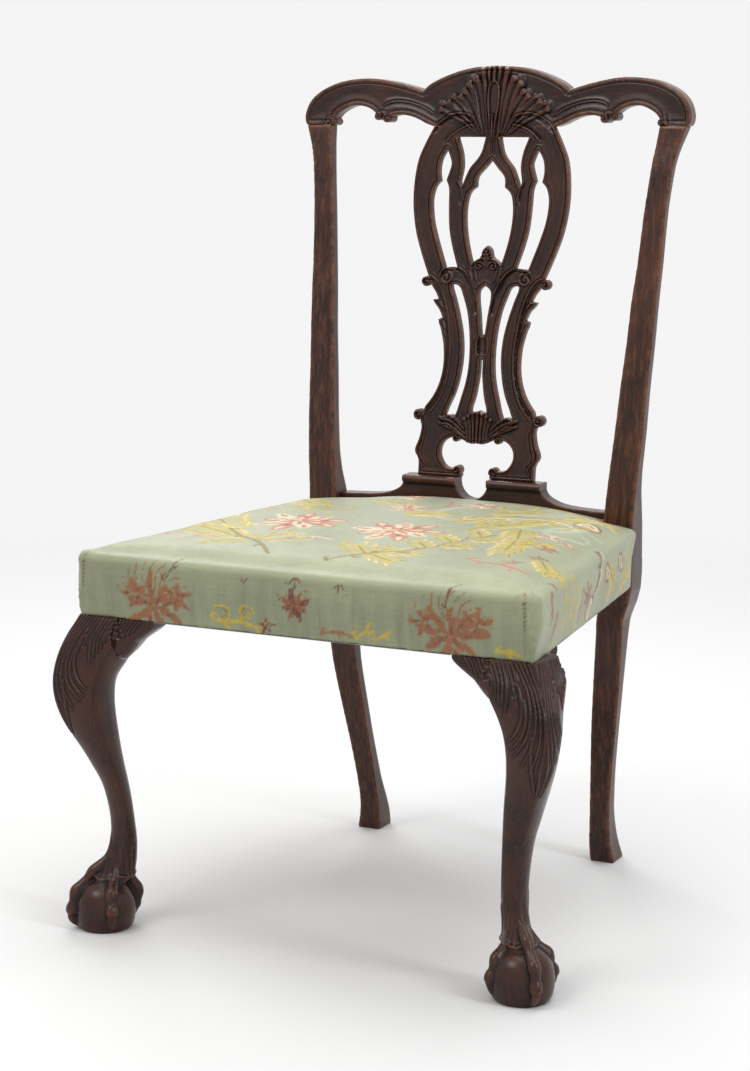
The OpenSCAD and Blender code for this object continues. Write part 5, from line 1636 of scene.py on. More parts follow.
@dataclass
class RearLeg:
    """Raking back leg that goes on up as the post of the back."""

    side: Side
    front_round: float = 0.06
    back_round: tuple[tuple[float, float], ...] = (
        (0.0, 3.2), (20.0, 5.7), (68.0, 10.3), (119.0, 11.6), (237.0, 12.8), (296.0, 11.8),
        (340.0, 3.6), (360.0, 1.1), (432.0, 1.1), (450.0, 3.6), (474.0, 10.8), (500.0, 13.6),
        (600.0, 11.6), (860.0, 9.4), (880.0, 8.7), (903.0, 5.0))
    full_ring: int = 50
    voxel: float = 1.6

    def rows(self) -> Points:
        """Reads the leg's rows from the rings of its solid.

        A height with fewer points than a full ring belongs to a mortise or a tenon.

        Returns:
            Height, outer side, front, width, depth and rounding of the back corners, in millimetres.
        """
        place = corners(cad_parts["rear_leg_right"]) / MM
        place[:, 1] += PLAN_MID
        heights, radii = np.transpose(self.back_round)
        rows = []
        for z, count in zip(*np.unique(place[:, 2].round(1), return_counts=True)):
            if count >= self.full_ring:
                ring = place[np.abs(place[:, 2] - z) < 0.1, :2]
                (inner, front), (outer, back) = ring.min(axis=0), ring.max(axis=0)
                rows.append((z, outer, front, outer - inner, back - front, np.interp(z, heights, radii)))
        return np.array(rows)

    def build(self) -> None:
        """Makes the leg and gives it its finish."""
        rows = self.rows()
        path = spline(rows, 0.8)
        heights = np.append(np.arange(0.0, rows[-1, 0], 3.0), rows[-1, 0])
        rings = []
        for z in heights:
            x, y, w, d, back = (np.interp(z, path[:, 0], path[:, k]) for k in range(1, 6))
            front, back = self.front_round * w, min(back, 0.48 * min(w, d))
            ring = []
            for cx, cy, r, start in ((x - front, y + front, front, -90.0),
                                     (x - back, y + d - back, back, 0.0),
                                     (x - w + back, y + d - back, back, 90.0),
                                     (x - w + front, y + front, front, 180.0)):
                for k in range(7):
                    turn = math.radians(start + 15.0 * k)
                    ring.append((cx + r * math.cos(turn), cy + r * math.sin(turn), z))
            rings.append(np.array(ring))
        name = self.side.name.lower()
        leg = lofted(f"rear_post_{name}", rings)
        apply_modifier(leg, "REMESH", mode="VOXEL", voxel_size=self.voxel * MM)
        relaxed(leg, 3)
        place = corners(leg)
        place[:, 1] -= PLAN_MID * MM
        place[:, 2] = np.maximum(place[:, 2], 0.0)
        place[:, 0] *= self.side.value
        set_corners(leg, place)
        if self.side is Side.LEFT:
            leg.data.flip_normals()
        finish_wood(leg, POST_WOOD, f"rear_leg_{name}", 0.0005)


def finish_wood(thing: bpy.types.Object, wood: PolishedWood, node: str, reach: float) -> None:
    """Marks a wooden piece's worn edges and its hollows of painted shade, dresses it and puts it in its
    node's place.

    Args:
        thing: The piece.
        wood: Its finish.
        node: CAD node that it replaces.
        reach: Size of a bump that counts in full as a worn edge, or of a hollow as painted shade, in metres.
    """
    mark_wear_and_shade(thing, reach)
    shade(thing)
    thing.data.materials.clear()
    thing.data.materials.append(FINISHES.get(wood))
    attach(thing, BODY)
    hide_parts(node)
    log.info("%s: %d faces", thing.name, len(thing.data.polygons))


@dataclass
class Shoe:
    """The moulded shoe that holds the splat's foot."""

    voxel: float = 1.1

    def build(self) -> None:
        """Eases the edges of the shoe's form and gives it its finish."""
        shoe = node_copy("splat_shoe", "moulded_shoe")
        apply_modifier(shoe, "REMESH", mode="VOXEL", voxel_size=self.voxel * MM)
        relaxed(shoe, 3)
        finish_wood(shoe, CROSS_WOOD, "splat_shoe", 0.0005)
# seat


class Dye(Enum):
    """Colours of the brocade's threads."""

    GROUND = (0.285, 0.305, 0.185)
    PALE = (0.4, 0.43, 0.31)
    OCHRE = (0.5, 0.385, 0.055)
    OLIVE = (0.2, 0.16, 0.025)
    CORAL = (0.46, 0.15, 0.085)
    RUST = (0.3, 0.12, 0.05)
    CREAM = (0.68, 0.57, 0.36)
    MADDER = (0.13, 0.035, 0.025)


@dataclass(frozen=True)
class Thread:
    """A bundle of threads that lies on the unfolded cloth, in millimetres."""

    dye: Dye
    width: float
    line: Sequence[tuple[float, float]]


def petal(root: tuple[float, float], tip: tuple[float, float], bend: float) -> list:
    """Returns a bowed line of three points from a root to a tip."""
    way = (tip[0] - root[0], tip[1] - root[1])
    middle = (root[0] + way[0] / 2 - way[1] * bend, root[1] + way[1] / 2 + way[0] * bend)
    return [root, middle, tip]


@dataclass(frozen=True)
class Leaf:
    """A feathery leaf: lobes on both sides of a rib."""

    root: tuple[float, float]
    tip: tuple[float, float]
    breadth: float
    lobes: int = 4

    def threads(self) -> list[Thread]:
        """Returns the leaf's threads, the lobes first and the rib on top."""
        way = np.subtract(self.tip, self.root)
        across = np.array([-way[1], way[0]]) / np.linalg.norm(way)
        found = []
        for k in range(self.lobes):
            share = (k + 0.4) / self.lobes
            reach = self.breadth * math.sin(math.pi * (0.25 + 0.65 * share))
            base = np.add(self.root, way * share)
            for side in (-1.0, 1.0):
                end = base + way * 0.34 + across * side * reach * (1.0 - 0.12 * (k % 2))
                line = petal(tuple(base), tuple(end), 0.16 * side)
                found.append(Thread(Dye.OCHRE, 1.9 + 0.09 * self.breadth, line))
                found.append(Thread(Dye.OLIVE if side > 0.0 else Dye.CREAM, 1.1, line[1:]))
        found.append(Thread(Dye.OCHRE, 4.2, [self.root, tuple(np.add(self.root, way * 0.5)), self.tip]))
        found.append(Thread(Dye.OLIVE, 1.6, [self.root, tuple(np.add(self.root, way * 0.45)),
                                             tuple(np.add(self.root, way * 0.85))]))
        return found


@dataclass(frozen=True)
class Blossom:
    """An open flower: broad bowed petals of two dyes, and fine threads beyond them."""

    centre: tuple[float, float]
    radius: float
    petals: int = 9
    turn: float = 0.3
    dyes: tuple[Dye, Dye] = (Dye.CORAL, Dye.CREAM)
    plumes: int = 0
    weight: float = 0.19

    def place(self, angle: float, share: float) -> tuple[float, float]:
        """A place at an angle and a share of the radius."""
        return (self.centre[0] + self.radius * share * math.cos(angle),
                self.centre[1] + self.radius * share * math.sin(angle))

    def threads(self) -> list[Thread]:
        """Returns the flower's threads, from the outer petals inwards."""
        found = []
        for k in range(self.plumes):
            angle = math.pi * (0.12 + 0.76 * k / max(1, self.plumes - 1))
            line = [self.place(angle, 0.5), self.place(angle + 0.1, 1.0), self.place(angle - 0.08, 1.32)]
            found.append(Thread(self.dyes[k % 2], 0.8, line))
        for ring, (inner, outer) in enumerate(((0.34, 1.0), (0.1, 0.56))):
            count = self.petals - 3 * ring
            for k in range(count):
                angle = self.turn + ring * 0.5 + math.tau * k / count
                reach = outer * (1.0 - 0.2 * (k % 3 == 1))
                out = [self.place(angle, inner), self.place(angle + 0.16, (inner + reach) / 2),
                       self.place(angle + 0.1, reach)]
                wide = self.radius * self.weight
                found.append(Thread(self.dyes[(k + ring) % 2], wide, out))
                found.append(Thread(self.dyes[(k + ring + 1) % 2], wide * 0.34, out[1:]))
                if k % 2 == 0:
                    found.append(Thread(Dye.MADDER, wide * 0.22, out[:2]))
        return found


@dataclass(frozen=True)
class Scroll:
    """A curling strand."""

    centre: tuple[float, float]
    radius: float
    start: float
    turns: float
    dye: Dye = Dye.OCHRE
    width: float = 2.6

    def threads(self) -> list[Thread]:
        """Returns the strand, with a thinner one beside it."""
        found = []
        for share, dye, width in ((1.0, self.dye, self.width), (0.84, Dye.OLIVE, self.width * 0.35)):
            line = []
            for t in np.linspace(0.0, 1.0, 3 + round(abs(self.turns) * 8)):
                reach = self.radius * share * (1.0 - 0.62 * t)
                at = self.start + math.tau * self.turns * t
                line.append((self.centre[0] + reach * math.cos(at), self.centre[1] + reach * math.sin(at)))
            if share == 1.0 or self.dye is Dye.OCHRE:
                found.append(Thread(dye, width, line))
        return found


@dataclass(frozen=True)
class Medallion:
    """A round bud: a dark ring round a cream middle with coral spots."""

    centre: tuple[float, float]
    radius: float

    def threads(self) -> list[Thread]:
        """Returns the bud's threads."""
        ring = [(self.centre[0] + self.radius * math.cos(a), self.centre[1] + self.radius * math.sin(a))
                for a in np.linspace(0.0, math.tau, 9)]
        line = petal((self.centre[0] - self.radius * 0.5, self.centre[1]),
                     (self.centre[0] + self.radius * 0.5, self.centre[1]), 0.3)
        return [Thread(Dye.CREAM, self.radius * 0.55, line), Thread(Dye.RUST, 2.0, line),
                Thread(Dye.MADDER, 1.6, ring[:6]), Thread(Dye.RUST, 2.2, ring[5:])]


@dataclass(frozen=True)
class Sprig:
    """A thin twig with side shoots."""

    line: Sequence[tuple[float, float]]
    dye: Dye = Dye.CORAL
    width: float = 1.3
    shoot: float = 12.0

    def threads(self) -> list[Thread]:
        """Returns the twig's threads, the stem first."""
        found = [Thread(self.dye, self.width, list(self.line))]
        for k, (before, here) in enumerate(zip(self.line, self.line[1:])):
            way = np.subtract(here, before)
            way = way / max(np.linalg.norm(way), 1e-6)
            side = 1.0 if k % 2 == 0 else -1.0
            end = np.add(before, way * self.shoot * 0.7 + np.array([-way[1], way[0]]) * side * self.shoot)
            found.append(Thread(self.dye, self.width * 0.8, petal(before, tuple(end), 0.2 * side)))
        return found


RUSTY = (Dye.RUST, Dye.RUST)
BROWN = (Dye.MADDER, Dye.RUST)
# Motifs on the unfolded cloth: x, and y from the front edge, negative down the front
TOP_MOTIFS = (
    Scroll((60, 330), 62, 0.4, 1.1, Dye.PALE, 5.0), Scroll((150, 318), 58, 2.2, -1.2, Dye.PALE, 5.0),
    Scroll((200, 280), 40, 1.0, 1.0, Dye.PALE, 4.0), Scroll((120, 400), 46, 3.4, 1.0, Dye.PALE, 4.0),
    Leaf((-150, 128), (-242, 244), 36, 6), Leaf((-118, 100), (-216, 150), 30, 5),
    Leaf((-104, 92), (-150, 60), 20, 3), Leaf((-96, 90), (-52, 118), 18, 3),
    Leaf((-112, 96), (-84, 150), 18, 3),
    Sprig([(-160, 140), (-130, 112), (-106, 93), (-78, 66), (-54, 36)], Dye.OLIVE, 3.2, 9),
    Blossom((-108, 212), 50, 9, 0.3), Sprig([(-64, 104), (-48, 122), (-33, 140)], Dye.RUST, 1.6, 16),
    Sprig([(-70, 128), (-44, 132), (-20, 118)], Dye.CREAM, 1.6, 12),
    Blossom((22, 198), 50, 9, 0.9), Leaf((50, 62), (16, 112), 24, 4), Leaf((56, 64), (92, 44), 18, 3),
    Leaf((62, 76), (98, 92), 20, 3), Leaf((54, 66), (62, 112), 20, 3),
    Sprig([(20, 30), (38, 50), (55, 72), (75, 90), (88, 118), (98, 153), (112, 195), (135, 232)],
          Dye.OLIVE, 3.0, 10),
    Leaf((92, 128), (66, 160), 17, 3), Leaf((98, 150), (132, 156), 17, 3),
    Leaf((104, 170), (78, 200), 16, 3),
    Leaf((112, 195), (146, 196), 16, 3), Leaf((120, 212), (100, 244), 14, 3),
    Leaf((132, 230), (160, 240), 13, 3),
    Sprig([(-276, 150), (-262, 210), (-246, 270), (-232, 330), (-214, 384)], Dye.OCHRE, 3.4, 20),
    Sprig([(-262, 40), (-254, 78), (-244, 118)], Dye.RUST, 1.8, 14),
    Blossom((-246, 128), 15, 6, 0.2), Sprig([(-232, 86), (-214, 100), (-196, 96)], Dye.CORAL, 2.2, 12),
    Leaf((-205, 392), (-142, 315), 22, 5),
    Sprig([(-210, 331), (-148, 326), (-84, 313)], Dye.OCHRE, 3.2, 18),
    Scroll((-176, 300), 30, 0.4, -0.9), Sprig([(-150, 290), (-112, 286), (-78, 296)], Dye.OCHRE, 3.0, 16),
    Leaf((-100, 380), (-40, 372), 18, 4), Leaf((-20, 300), (28, 318), 18, 4), Blossom((-30, 338), 26, 8),
    Blossom((-62, 420), 20, 7), Sprig([(-20, 330), (4, 372), (-4, 412)], Dye.CORAL, 2.4, 16),
    Blossom((44, 392), 24, 7, 0.5), Leaf((52, 276), (96, 330), 22, 4), Leaf((70, 352), (120, 388), 20, 4),
    Leaf((91, 249), (142, 322), 22, 5), Leaf((130, 305), (178, 372), 20, 5),
    Scroll((112, 300), 34, 2.4, 1.1),
    Leaf((141, 274), (166, 202), 23, 5), Leaf((164, 206), (176, 138), 20, 5),
    Leaf((168, 180), (206, 206), 17, 3), Scroll((170, 330), 38, 3.4, -1.1), Scroll((84, 400), 26, 1.2, 1.0),
    Sprig([(60, 300), (102, 330), (150, 340), (196, 312)], Dye.CREAM, 2.0, 20),
    Blossom((186, 246), 16, 6, 0.2), Blossom((214, 232), 12, 5), Medallion((193, 345), 16),
    Blossom((208, 186), 14, 6, 0.0, RUSTY), Blossom((216, 140), 11, 5, 0.4, RUSTY),
    Sprig([(152, 100), (172, 90), (196, 84), (218, 72), (240, 60)], Dye.CORAL, 2.6, 12),
    Blossom((204, 100), 12, 5, 0.4, RUSTY), Leaf((222, 134), (250, 96), 17, 4),
    Leaf((150, 404), (206, 392), 18, 4), Blossom((180, 432), 24, 7, 0.2, RUSTY),
    Scroll((120, 424), 30, 0.0, 1.0),
    Sprig([(-190, 60), (-178, 86), (-170, 112)], Dye.CORAL, 1.4, 8),
)
FRONT_MOTIFS = (
    Blossom((-176, -52), 38, 9, 0.1, RUSTY, 11, 0.11), Blossom((-200, -40), 16, 5, 0.5, RUSTY),
    Blossom((-146, -40), 18, 6, 0.2, RUSTY),
    Sprig([(-160, -22), (-150, -6), (-144, 8)], Dye.MADDER, 0.9, 6),
    Scroll((-90, -54), 12, 3.0, -0.9, Dye.OCHRE, 2.4), Scroll((-60, -50), 9, 0.2, 1.0, Dye.OCHRE, 2.2),
    Sprig([(-104, -60), (-88, -62), (-68, -60), (-50, -64), (-34, -60)], Dye.OCHRE, 2.4, 8),
    Blossom((-36, -62), 10, 5, 0.2, BROWN), Blossom((0, -35), 17, 8, 0.2, BROWN, 5),
    Sprig([(-8, -14), (0, -6), (10, -12)], Dye.MADDER, 0.8, 5),
    Sprig([(-62, -16), (-56, -8)], Dye.MADDER, 0.8, 5),
    Sprig([(30, -63), (50, -60), (66, -64)], Dye.RUST, 1.8, 5),
    Sprig([(70, -66), (82, -56), (88, -46)], Dye.OCHRE, 2.2, 8),
    Sprig([(92, -66), (104, -58), (112, -54)], Dye.OCHRE, 1.8, 5),
    Sprig([(44, -14), (54, -8), (62, -18)], Dye.MADDER, 0.8, 6),
    Blossom((180, -52), 38, 9, 0.7, RUSTY, 11, 0.11), Blossom((150, -38), 15, 5, 0.5, RUSTY),
    Blossom((210, -36), 18, 6, 0.2, RUSTY), Sprig([(176, -20), (178, -4), (186, 10)], Dye.MADDER, 0.9, 6),
    Sprig([(232, -64), (246, -62), (258, -66)], Dye.OCHRE, 3.0, 5),
)
# On the right-hand side and, turned over, on the other: x grows down the cloth
SIDE_MOTIFS = (
    Sprig([(248, 96), (262, 102), (280, 100), (300, 106), (322, 110)], Dye.OCHRE, 3.0, 14),
    Sprig([(262, 128), (284, 138), (304, 132), (322, 140)], Dye.OCHRE, 3.0, 13),
    Sprig([(270, 152), (290, 160), (306, 158), (322, 168)], Dye.OCHRE, 2.6, 12),
    Scroll((252, 96), 14, 1.0, 0.9),
    Sprig([(274, 44), (292, 48), (306, 46)], Dye.RUST, 3.4, 6),
    Sprig([(296, 66), (308, 70), (324, 66)], Dye.RUST, 3.6, 6),
    Sprig([(262, 62), (270, 66)], Dye.RUST, 3.0, 4),
    Sprig([(276, 178), (294, 184), (310, 182)], Dye.RUST, 2.6, 10),
    Medallion((300, 226), 15), Sprig([(236, 262), (254, 258), (272, 246), (288, 236)], Dye.MADDER, 2.6, 8),
    Sprig([(240, 270), (258, 264), (276, 252), (290, 242)], Dye.CREAM, 1.4, 6),
    Medallion((262, 290), 11), Leaf((252, 302), (288, 326), 16, 4), Medallion((252, 356), 11),
    Leaf((286, 372), (250, 412), 16, 5), Blossom((282, 206), 15, 6, 0.2, RUSTY),
)


@dataclass
class Brocade:
    """Colours the cover's threads on the unfolded cloth."""

    edge: float = 0.55
    # Lightening of the ground near the front rim: partly worn silk, partly painted highlight
    rim_wear_and_highlight: float = 0.1

    def threads(self) -> list[Thread]:
        """Every thread bundle of the pattern, bottom one first."""
        found = [t for motif in (*TOP_MOTIFS, *FRONT_MOTIFS, *SIDE_MOTIFS) for t in motif.threads()]
        for motif in SIDE_MOTIFS:
            for thread in motif.threads():
                found.append(Thread(thread.dye, thread.width, [(-x, y) for x, y in thread.line]))
        return found

    def paint(self, thing: bpy.types.Object, spots: Points) -> None:
        """Writes the threads' colour, on a ground with painted shade down its front, and where the threads
        stand out on the mesh.

        Args:
            thing: The cover.
            spots: Its points' places on the unfolded cloth, in millimetres.
        """
        ragged = (0.5 * np.sin(spots[:, 1] * 2.7 + spots[:, 0] * 0.35)
                  + 0.35 * np.sin(spots[:, 0] * 1.9 - spots[:, 1] * 1.1))
        cloud = 1.0 + 0.03 * np.sin(spots[:, 0] / 31 + 1.3 * np.sin(spots[:, 1] / 43))
        # A lighter band along the front of the top, stronger towards the right: partly worn silk, partly
        # painted highlight
        near_rim = np.exp(-((spots[:, 1] - 20.0) / 24.0) ** 2) * smoothstep((spots[:, 0] + 60) / 160)
        # Down the front face the ground is painted 10% darker, as painted shade, and crossed by vertical
        # streaks of painted crease shade with some soiling
        down = ramp_between(spots[:, 1], -4.0, -30.0)
        streak = (np.sin(spots[:, 0] * 0.31 + 1.7 * np.sin(spots[:, 0] * 0.043))
                  + 0.6 * np.sin(spots[:, 0] * 0.83))
        cloud = cloud * (1.0 + 0.045 * streak * down) * (1.0 - 0.1 * down)
        colour = np.array(Dye.GROUND.value) * (cloud * (1.0 + self.rim_wear_and_highlight * near_rim))[:, None]
        woven = np.zeros(len(spots))
        for thread in self.threads():
            path = Line(spline(thread.line, 2.5))
            low = path.points.min(axis=0) - thread.width - 1.0
            high = path.points.max(axis=0) + thread.width + 1.0
            inside = np.all((spots > low) & (spots < high), axis=1).nonzero()[0]
            if len(inside) == 0:
                continue
            away, run, _ = path.near(spots[inside])
            taper = 0.55 + 0.45 * np.sin(math.pi * np.clip(run / path.length, 0.04, 0.96))
            fray = ragged[inside] * (0.5 + 0.16 * thread.width)
            cover = smoothstep((thread.width * taper - away + fray) / self.edge + 0.5)
            shade_of = np.array(thread.dye.value) * (0.94 + 0.08 * ragged[inside])[:, None]
            colour[inside] += (shade_of - colour[inside]) * cover[:, None] * 0.94
            woven[inside] = np.maximum(woven[inside], cover)
        tint = thing.data.color_attributes.new("silk", "FLOAT_COLOR", "POINT")
        painted = np.column_stack([colour, np.ones(len(spots))]).astype(np.float32)
        tint.data.foreach_set("color", painted.ravel())
        layer = thing.data.attributes.new("brocading", "FLOAT", "POINT")
        layer.data.foreach_set("value", woven.astype(np.float32))


def ramp_between(values: np.ndarray, low: float, high: float) -> np.ndarray:
    """A soft step from 0 at low to 1 at high, which may lie below low."""
    return smoothstep((values - low) / (high - low))


@dataclass
class Cover:
    """The stuffed seat under its silk: a crowned shell with a turned-under hem."""

    front_half: float = 272.75
    side_slope: float = 0.131236
    length: float = 437.0
    rim_in: float = 3.5
    roll: float = 8.0
    corner: float = 8.0
    hem_z: float = 364.7
    waist_z: float = 399.6
    roll_z: float = 425.7
    back_z: float = 420.6
    crown: float = 18.0
    thick: float = 1.5
    post_in: float = 177.2
    post_step: float = 2.3
    step: float = 2.0
    puff_most: float = 3.0
    voxel: float = 6.0

    def __post_init__(self) -> None:
        """Reads the seat's back edge from the frame."""
        low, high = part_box("seat_cover")
        self.rear = high[1] / MM + PLAN_MID
        self.top_z = self.roll_z + self.roll
        self.lean = math.atan(self.side_slope)

    def side_x(self, y, inset: float):
        """Half the seat's width at a depth, less an inset."""
        return self.front_half - y * self.side_slope - inset / math.cos(self.lean)

    def crown_z(self, x: np.ndarray, y: np.ndarray, depth: float) -> np.ndarray:
        """Height of the crowned top under a place."""
        across = np.minimum(1.0, np.abs(x) / self.side_x(y, self.rim_in))
        along = np.clip((y - self.rim_in) / (self.length - self.rim_in), 0.0, 1.0)
        return self.top_z + self.crown * (1 - across ** 2.2) * (1 - (1 - along) ** 3) - depth

    def rim(self, inset: float, depth: float) -> tuple[Points, Points, np.ndarray]:
        """Goes once round the seat at an inset.

        Args:
            inset: How far in from the sides, in millimetres.
            depth: How far under the silk's face, in millimetres.

        Returns:
            The places, the way out at each, and 1 where the cloth hangs down.
        """
        centre = np.array([self.side_x(self.corner, self.corner), self.corner])
        run = np.linspace(0.0, 1.0, round(centre[0] / self.step), endpoint=False)
        spots = [np.column_stack([centre[0] * run, np.full(len(run), inset)])]
        ways = [np.tile([0.0, -1.0], (len(run), 1))]
        turn = np.linspace(-math.pi / 2, self.lean, 12)
        out = np.column_stack([np.cos(turn), np.sin(turn)])
        spots.append(centre + out * (self.corner - inset))
        ways.append(out)
        last = self.length - 0.2 - depth
        y = np.linspace(spots[-1][-1, 1], last, round(self.length / self.step))[1:]
        spots.append(np.column_stack([self.side_x(y, inset), y]))
        ways.append(np.tile(out[-1], (len(y), 1)))
        hangs = sum(len(part) for part in spots)
        post = self.post_in - depth
        back = self.rear - depth
        stops = [(self.side_x(last, inset), last),
                 (self.side_x(last, max(inset, depth)) - self.post_step, last),
                 (post, last), (post, back), (0.0, back)]
        for (start, end), count in zip(zip(stops, stops[1:]), (2, 18, 8, round(post / self.step))):
            share = np.linspace(0.0, 1.0, count + 1)[1:, None]
            spots.append(np.array(start) * (1 - share) + np.array(end) * share)
            ways.append(np.tile([0.0, 1.0], (count, 1)))
        half, way = np.vstack(spots), np.vstack(ways)
        flag = (np.arange(len(half)) < hangs).astype(float)
        whole = np.vstack([half, half[-2:0:-1] * [-1, 1]])
        return whole, np.vstack([way, way[-2:0:-1] * [-1, 1]]), np.concatenate([flag, flag[-2:0:-1]])

    def profile(self, depth: float, gap: float) -> list[tuple[float, float, float, float]]:
        """Rows of the skin from the hem up: inset, height, rise at the back, and run."""
        lift = self.hem_z
        rows = []
        for z in np.linspace(lift, self.waist_z, max(2, round((self.waist_z - lift) / gap))):
            rows.append((depth, z, 0.15 * (z - lift) / (self.waist_z - lift)))
        start = self.rim_in - (self.roll - depth)
        for share in np.linspace(0.0, 1.0, max(2, round(26 / gap)))[1:]:
            z = self.waist_z + (self.roll_z - self.waist_z) * share
            rows.append((depth + (start - depth) * share, z, 0.15 + 0.35 * share))
        for turn in np.linspace(0.0, math.pi / 2, max(3, round(13 / gap)))[1:]:
            reach = self.roll - depth
            rows.append((self.rim_in - reach * math.cos(turn), self.roll_z + reach * math.sin(turn),
                         0.5 + 0.5 * math.sin(turn)))
        runs = [0.0]
        for before, here in zip(rows[::-1], rows[-2::-1]):
            runs.append(runs[-1] + math.hypot(before[0] - here[0], before[1] - here[1]))
        return [(*row, run) for row, run in zip(rows, runs[::-1])]

    def skin(self, depth: float, gap: float, grid: float) -> tuple[list[Points], list[Points], Points, list]:
        """Makes the rows and the top of one face of the cover.

        Args:
            depth: How far under the silk's face.
            gap: Distance between rows.
            grid: Distance between points on the top.

        Returns:
            The rows, their places on the unfolded cloth, and the top's points and faces.
        """
        top_loop, ways, flag = self.rim(self.rim_in, depth)
        rows, flats = [], []
        for inset, z, rise, run in self.profile(depth, gap):
            loop, _, _ = self.rim(inset, depth)
            behind = self.back_z + (self.crown_z(loop[:, 0], loop[:, 1], depth) - self.back_z) * rise
            rows.append(np.column_stack([loop, np.where(flag > 0.5, z, behind)]))
            flats.append(top_loop + ways * run)
        inner = [(x, y) for y in np.arange(self.rim_in + grid, self.rear - grid * 0.6, grid)
                 for x in np.arange(-self.front_half, self.front_half, grid)
                 if abs(x) < (self.side_x(y, self.rim_in) if y < self.length - depth - grid
                              else self.post_in - depth) - grid * 0.6]
        flat = [Vector(p) for p in [*top_loop.tolist(), *inner]]
        found = geometry.delaunay_2d_cdt(flat, [], [list(range(len(top_loop)))], 1, 1e-5)
        spots = np.array([p[:] for p in found[0]])
        cap = np.column_stack([spots, self.crown_z(spots[:, 0], spots[:, 1], depth)])
        return rows, flats, cap, found[2]

    def shell(self) -> bpy.types.Object:
        """Makes the closed cover, with its unfolded places as attributes."""
        places, flats, outer, faces = [], [], [], []
        first_rows = []
        for depth, gap, grid in ((0.0, self.step, self.step), (self.thick, 9.0, 9.0)):
            rows, flat_rows, cap, cap_faces = self.skin(depth, gap, grid)
            base, count = sum(len(p) for p in places), len(rows[0])
            first_rows.append(base)
            for k in range(len(rows) - 1):
                for i in range(count):
                    j = (i + 1) % count
                    low, high = base + k * count, base + (k + 1) * count
                    faces.append((low + i, low + j, high + j, high + i))
            places += rows
            flats += flat_rows
            at = base + len(rows) * count
            faces += [tuple(at + i for i in f) for f in cap_faces]
            places.append(cap)
            flats.append(cap[:, :2])
            outer.append(np.full(len(rows) * count + len(cap), 1.0 if depth == 0.0 else 0.0))
        for i in range(count):
            j = (i + 1) % count
            faces.append((first_rows[0] + i, first_rows[0] + j, first_rows[1] + j, first_rows[1] + i))
        spots = np.vstack(places)
        spots[:, 1] -= PLAN_MID
        thing = mesh_object("brocade_cover", spots * MM, faces)
        for name, values in (("cloth_x", np.vstack(flats)[:, 0]), ("cloth_y", np.vstack(flats)[:, 1]),
                             ("face", np.concatenate(outer))):
            store = thing.data.attributes.new(name, "FLOAT", "POINT")
            store.data.foreach_set("value", values.astype(np.float32))
        work = bmesh.new()
        work.from_mesh(thing.data)
        bmesh.ops.remove_doubles(work, verts=work.verts, dist=2e-6)
        bmesh.ops.recalc_face_normals(work, faces=work.faces)
        work.to_mesh(thing.data)
        work.free()
        return thing

    def values(self, thing: bpy.types.Object, name: str) -> np.ndarray:
        """Reads one of the cover's attributes."""
        found = np.empty(len(thing.data.vertices), np.float32)
        thing.data.attributes[name].data.foreach_get("value", found)
        return found.astype(float)

    def swelling(self) -> tuple[Points, Points]:
        """Blows a coarse copy of the seat up as cloth.

        Returns:
            The copy's points before, and how far each one moved, in metres.
        """
        rows, _, cap, cap_faces = self.skin(0.4, 8.0, 10.0)
        count = len(rows[0])
        spots = np.vstack([*rows, cap, [[0.0, 218.5, 395.0]]])
        spots[:, 1] -= PLAN_MID
        faces = [(k * count + i, k * count + (i + 1) % count, (k + 1) * count + (i + 1) % count,
                  (k + 1) * count + i) for k in range(len(rows) - 1) for i in range(count)]
        faces += [tuple(len(rows) * count + i for i in f) for f in cap_faces]
        faces += [((i + 1) % count, i, len(spots) - 1) for i in range(count)]
        pad = mesh_object("swelling", spots * MM, faces)
        work = bmesh.new()
        work.from_mesh(pad.data)
        bmesh.ops.remove_doubles(work, verts=work.verts, dist=2e-6)
        bmesh.ops.recalc_face_normals(work, faces=work.faces)
        work.to_mesh(pad.data)
        work.free()
        apply_modifier(pad, "REMESH", mode="VOXEL", voxel_size=self.voxel * MM)
        before = corners(pad)
        held = pad.vertex_groups.new(name="held")
        low = (before[:, 2] < (self.hem_z + 9.0) * MM) | (before[:, 1] > (self.length - PLAN_MID) * MM)
        held.add(low.nonzero()[0].tolist(), 1.0, "REPLACE")
        cloth = pad.modifiers.new("cloth", "CLOTH")
        cloth.settings.use_pressure = True
        cloth.settings.uniform_pressure_force = 4.0
        cloth.settings.effector_weights.gravity = 0.0
        cloth.settings.vertex_group_mass = "held"
        for moment in range(1, 21):
            bpy.context.scene.frame_set(moment)
        deselect()
        pad.select_set(True)
        bpy.context.view_layer.objects.active = pad
        bpy.ops.object.modifier_apply(modifier="cloth")
        moved = corners(pad) - before
        bpy.data.objects.remove(pad)
        bpy.context.scene.frame_set(1)
        size = np.maximum(np.linalg.norm(moved, axis=1), 1e-9)[:, None]
        return before, moved * np.minimum(1.0, self.puff_most * MM / size)

    def puffed(self, thing: bpy.types.Object) -> None:
        """Passes the coarse copy's swelling on to the face of the cover."""
        before, moved = self.swelling()
        tree = kdtree.KDTree(len(before))
        for i, p in enumerate(before.tolist()):
            tree.insert(p, i)
        tree.balance()
        places, face = corners(thing), self.values(thing, "face")
        move = np.zeros_like(places)
        for i in (face > 0.5).nonzero()[0]:
            near = tree.find_n(places[i], 5)
            weights = np.array([1.0 / (d + 0.002) for _, _, d in near])
            move[i] = weights @ moved[[k for _, k, _ in near]] / weights.sum()
        outward = np.einsum("ij,ij->i", move, point_normals(thing))
        set_corners(thing, places + point_normals(thing) * np.maximum(outward, 0.0)[:, None])
        log.info("seat: swollen by up to %.1f mm", outward.max() / MM)

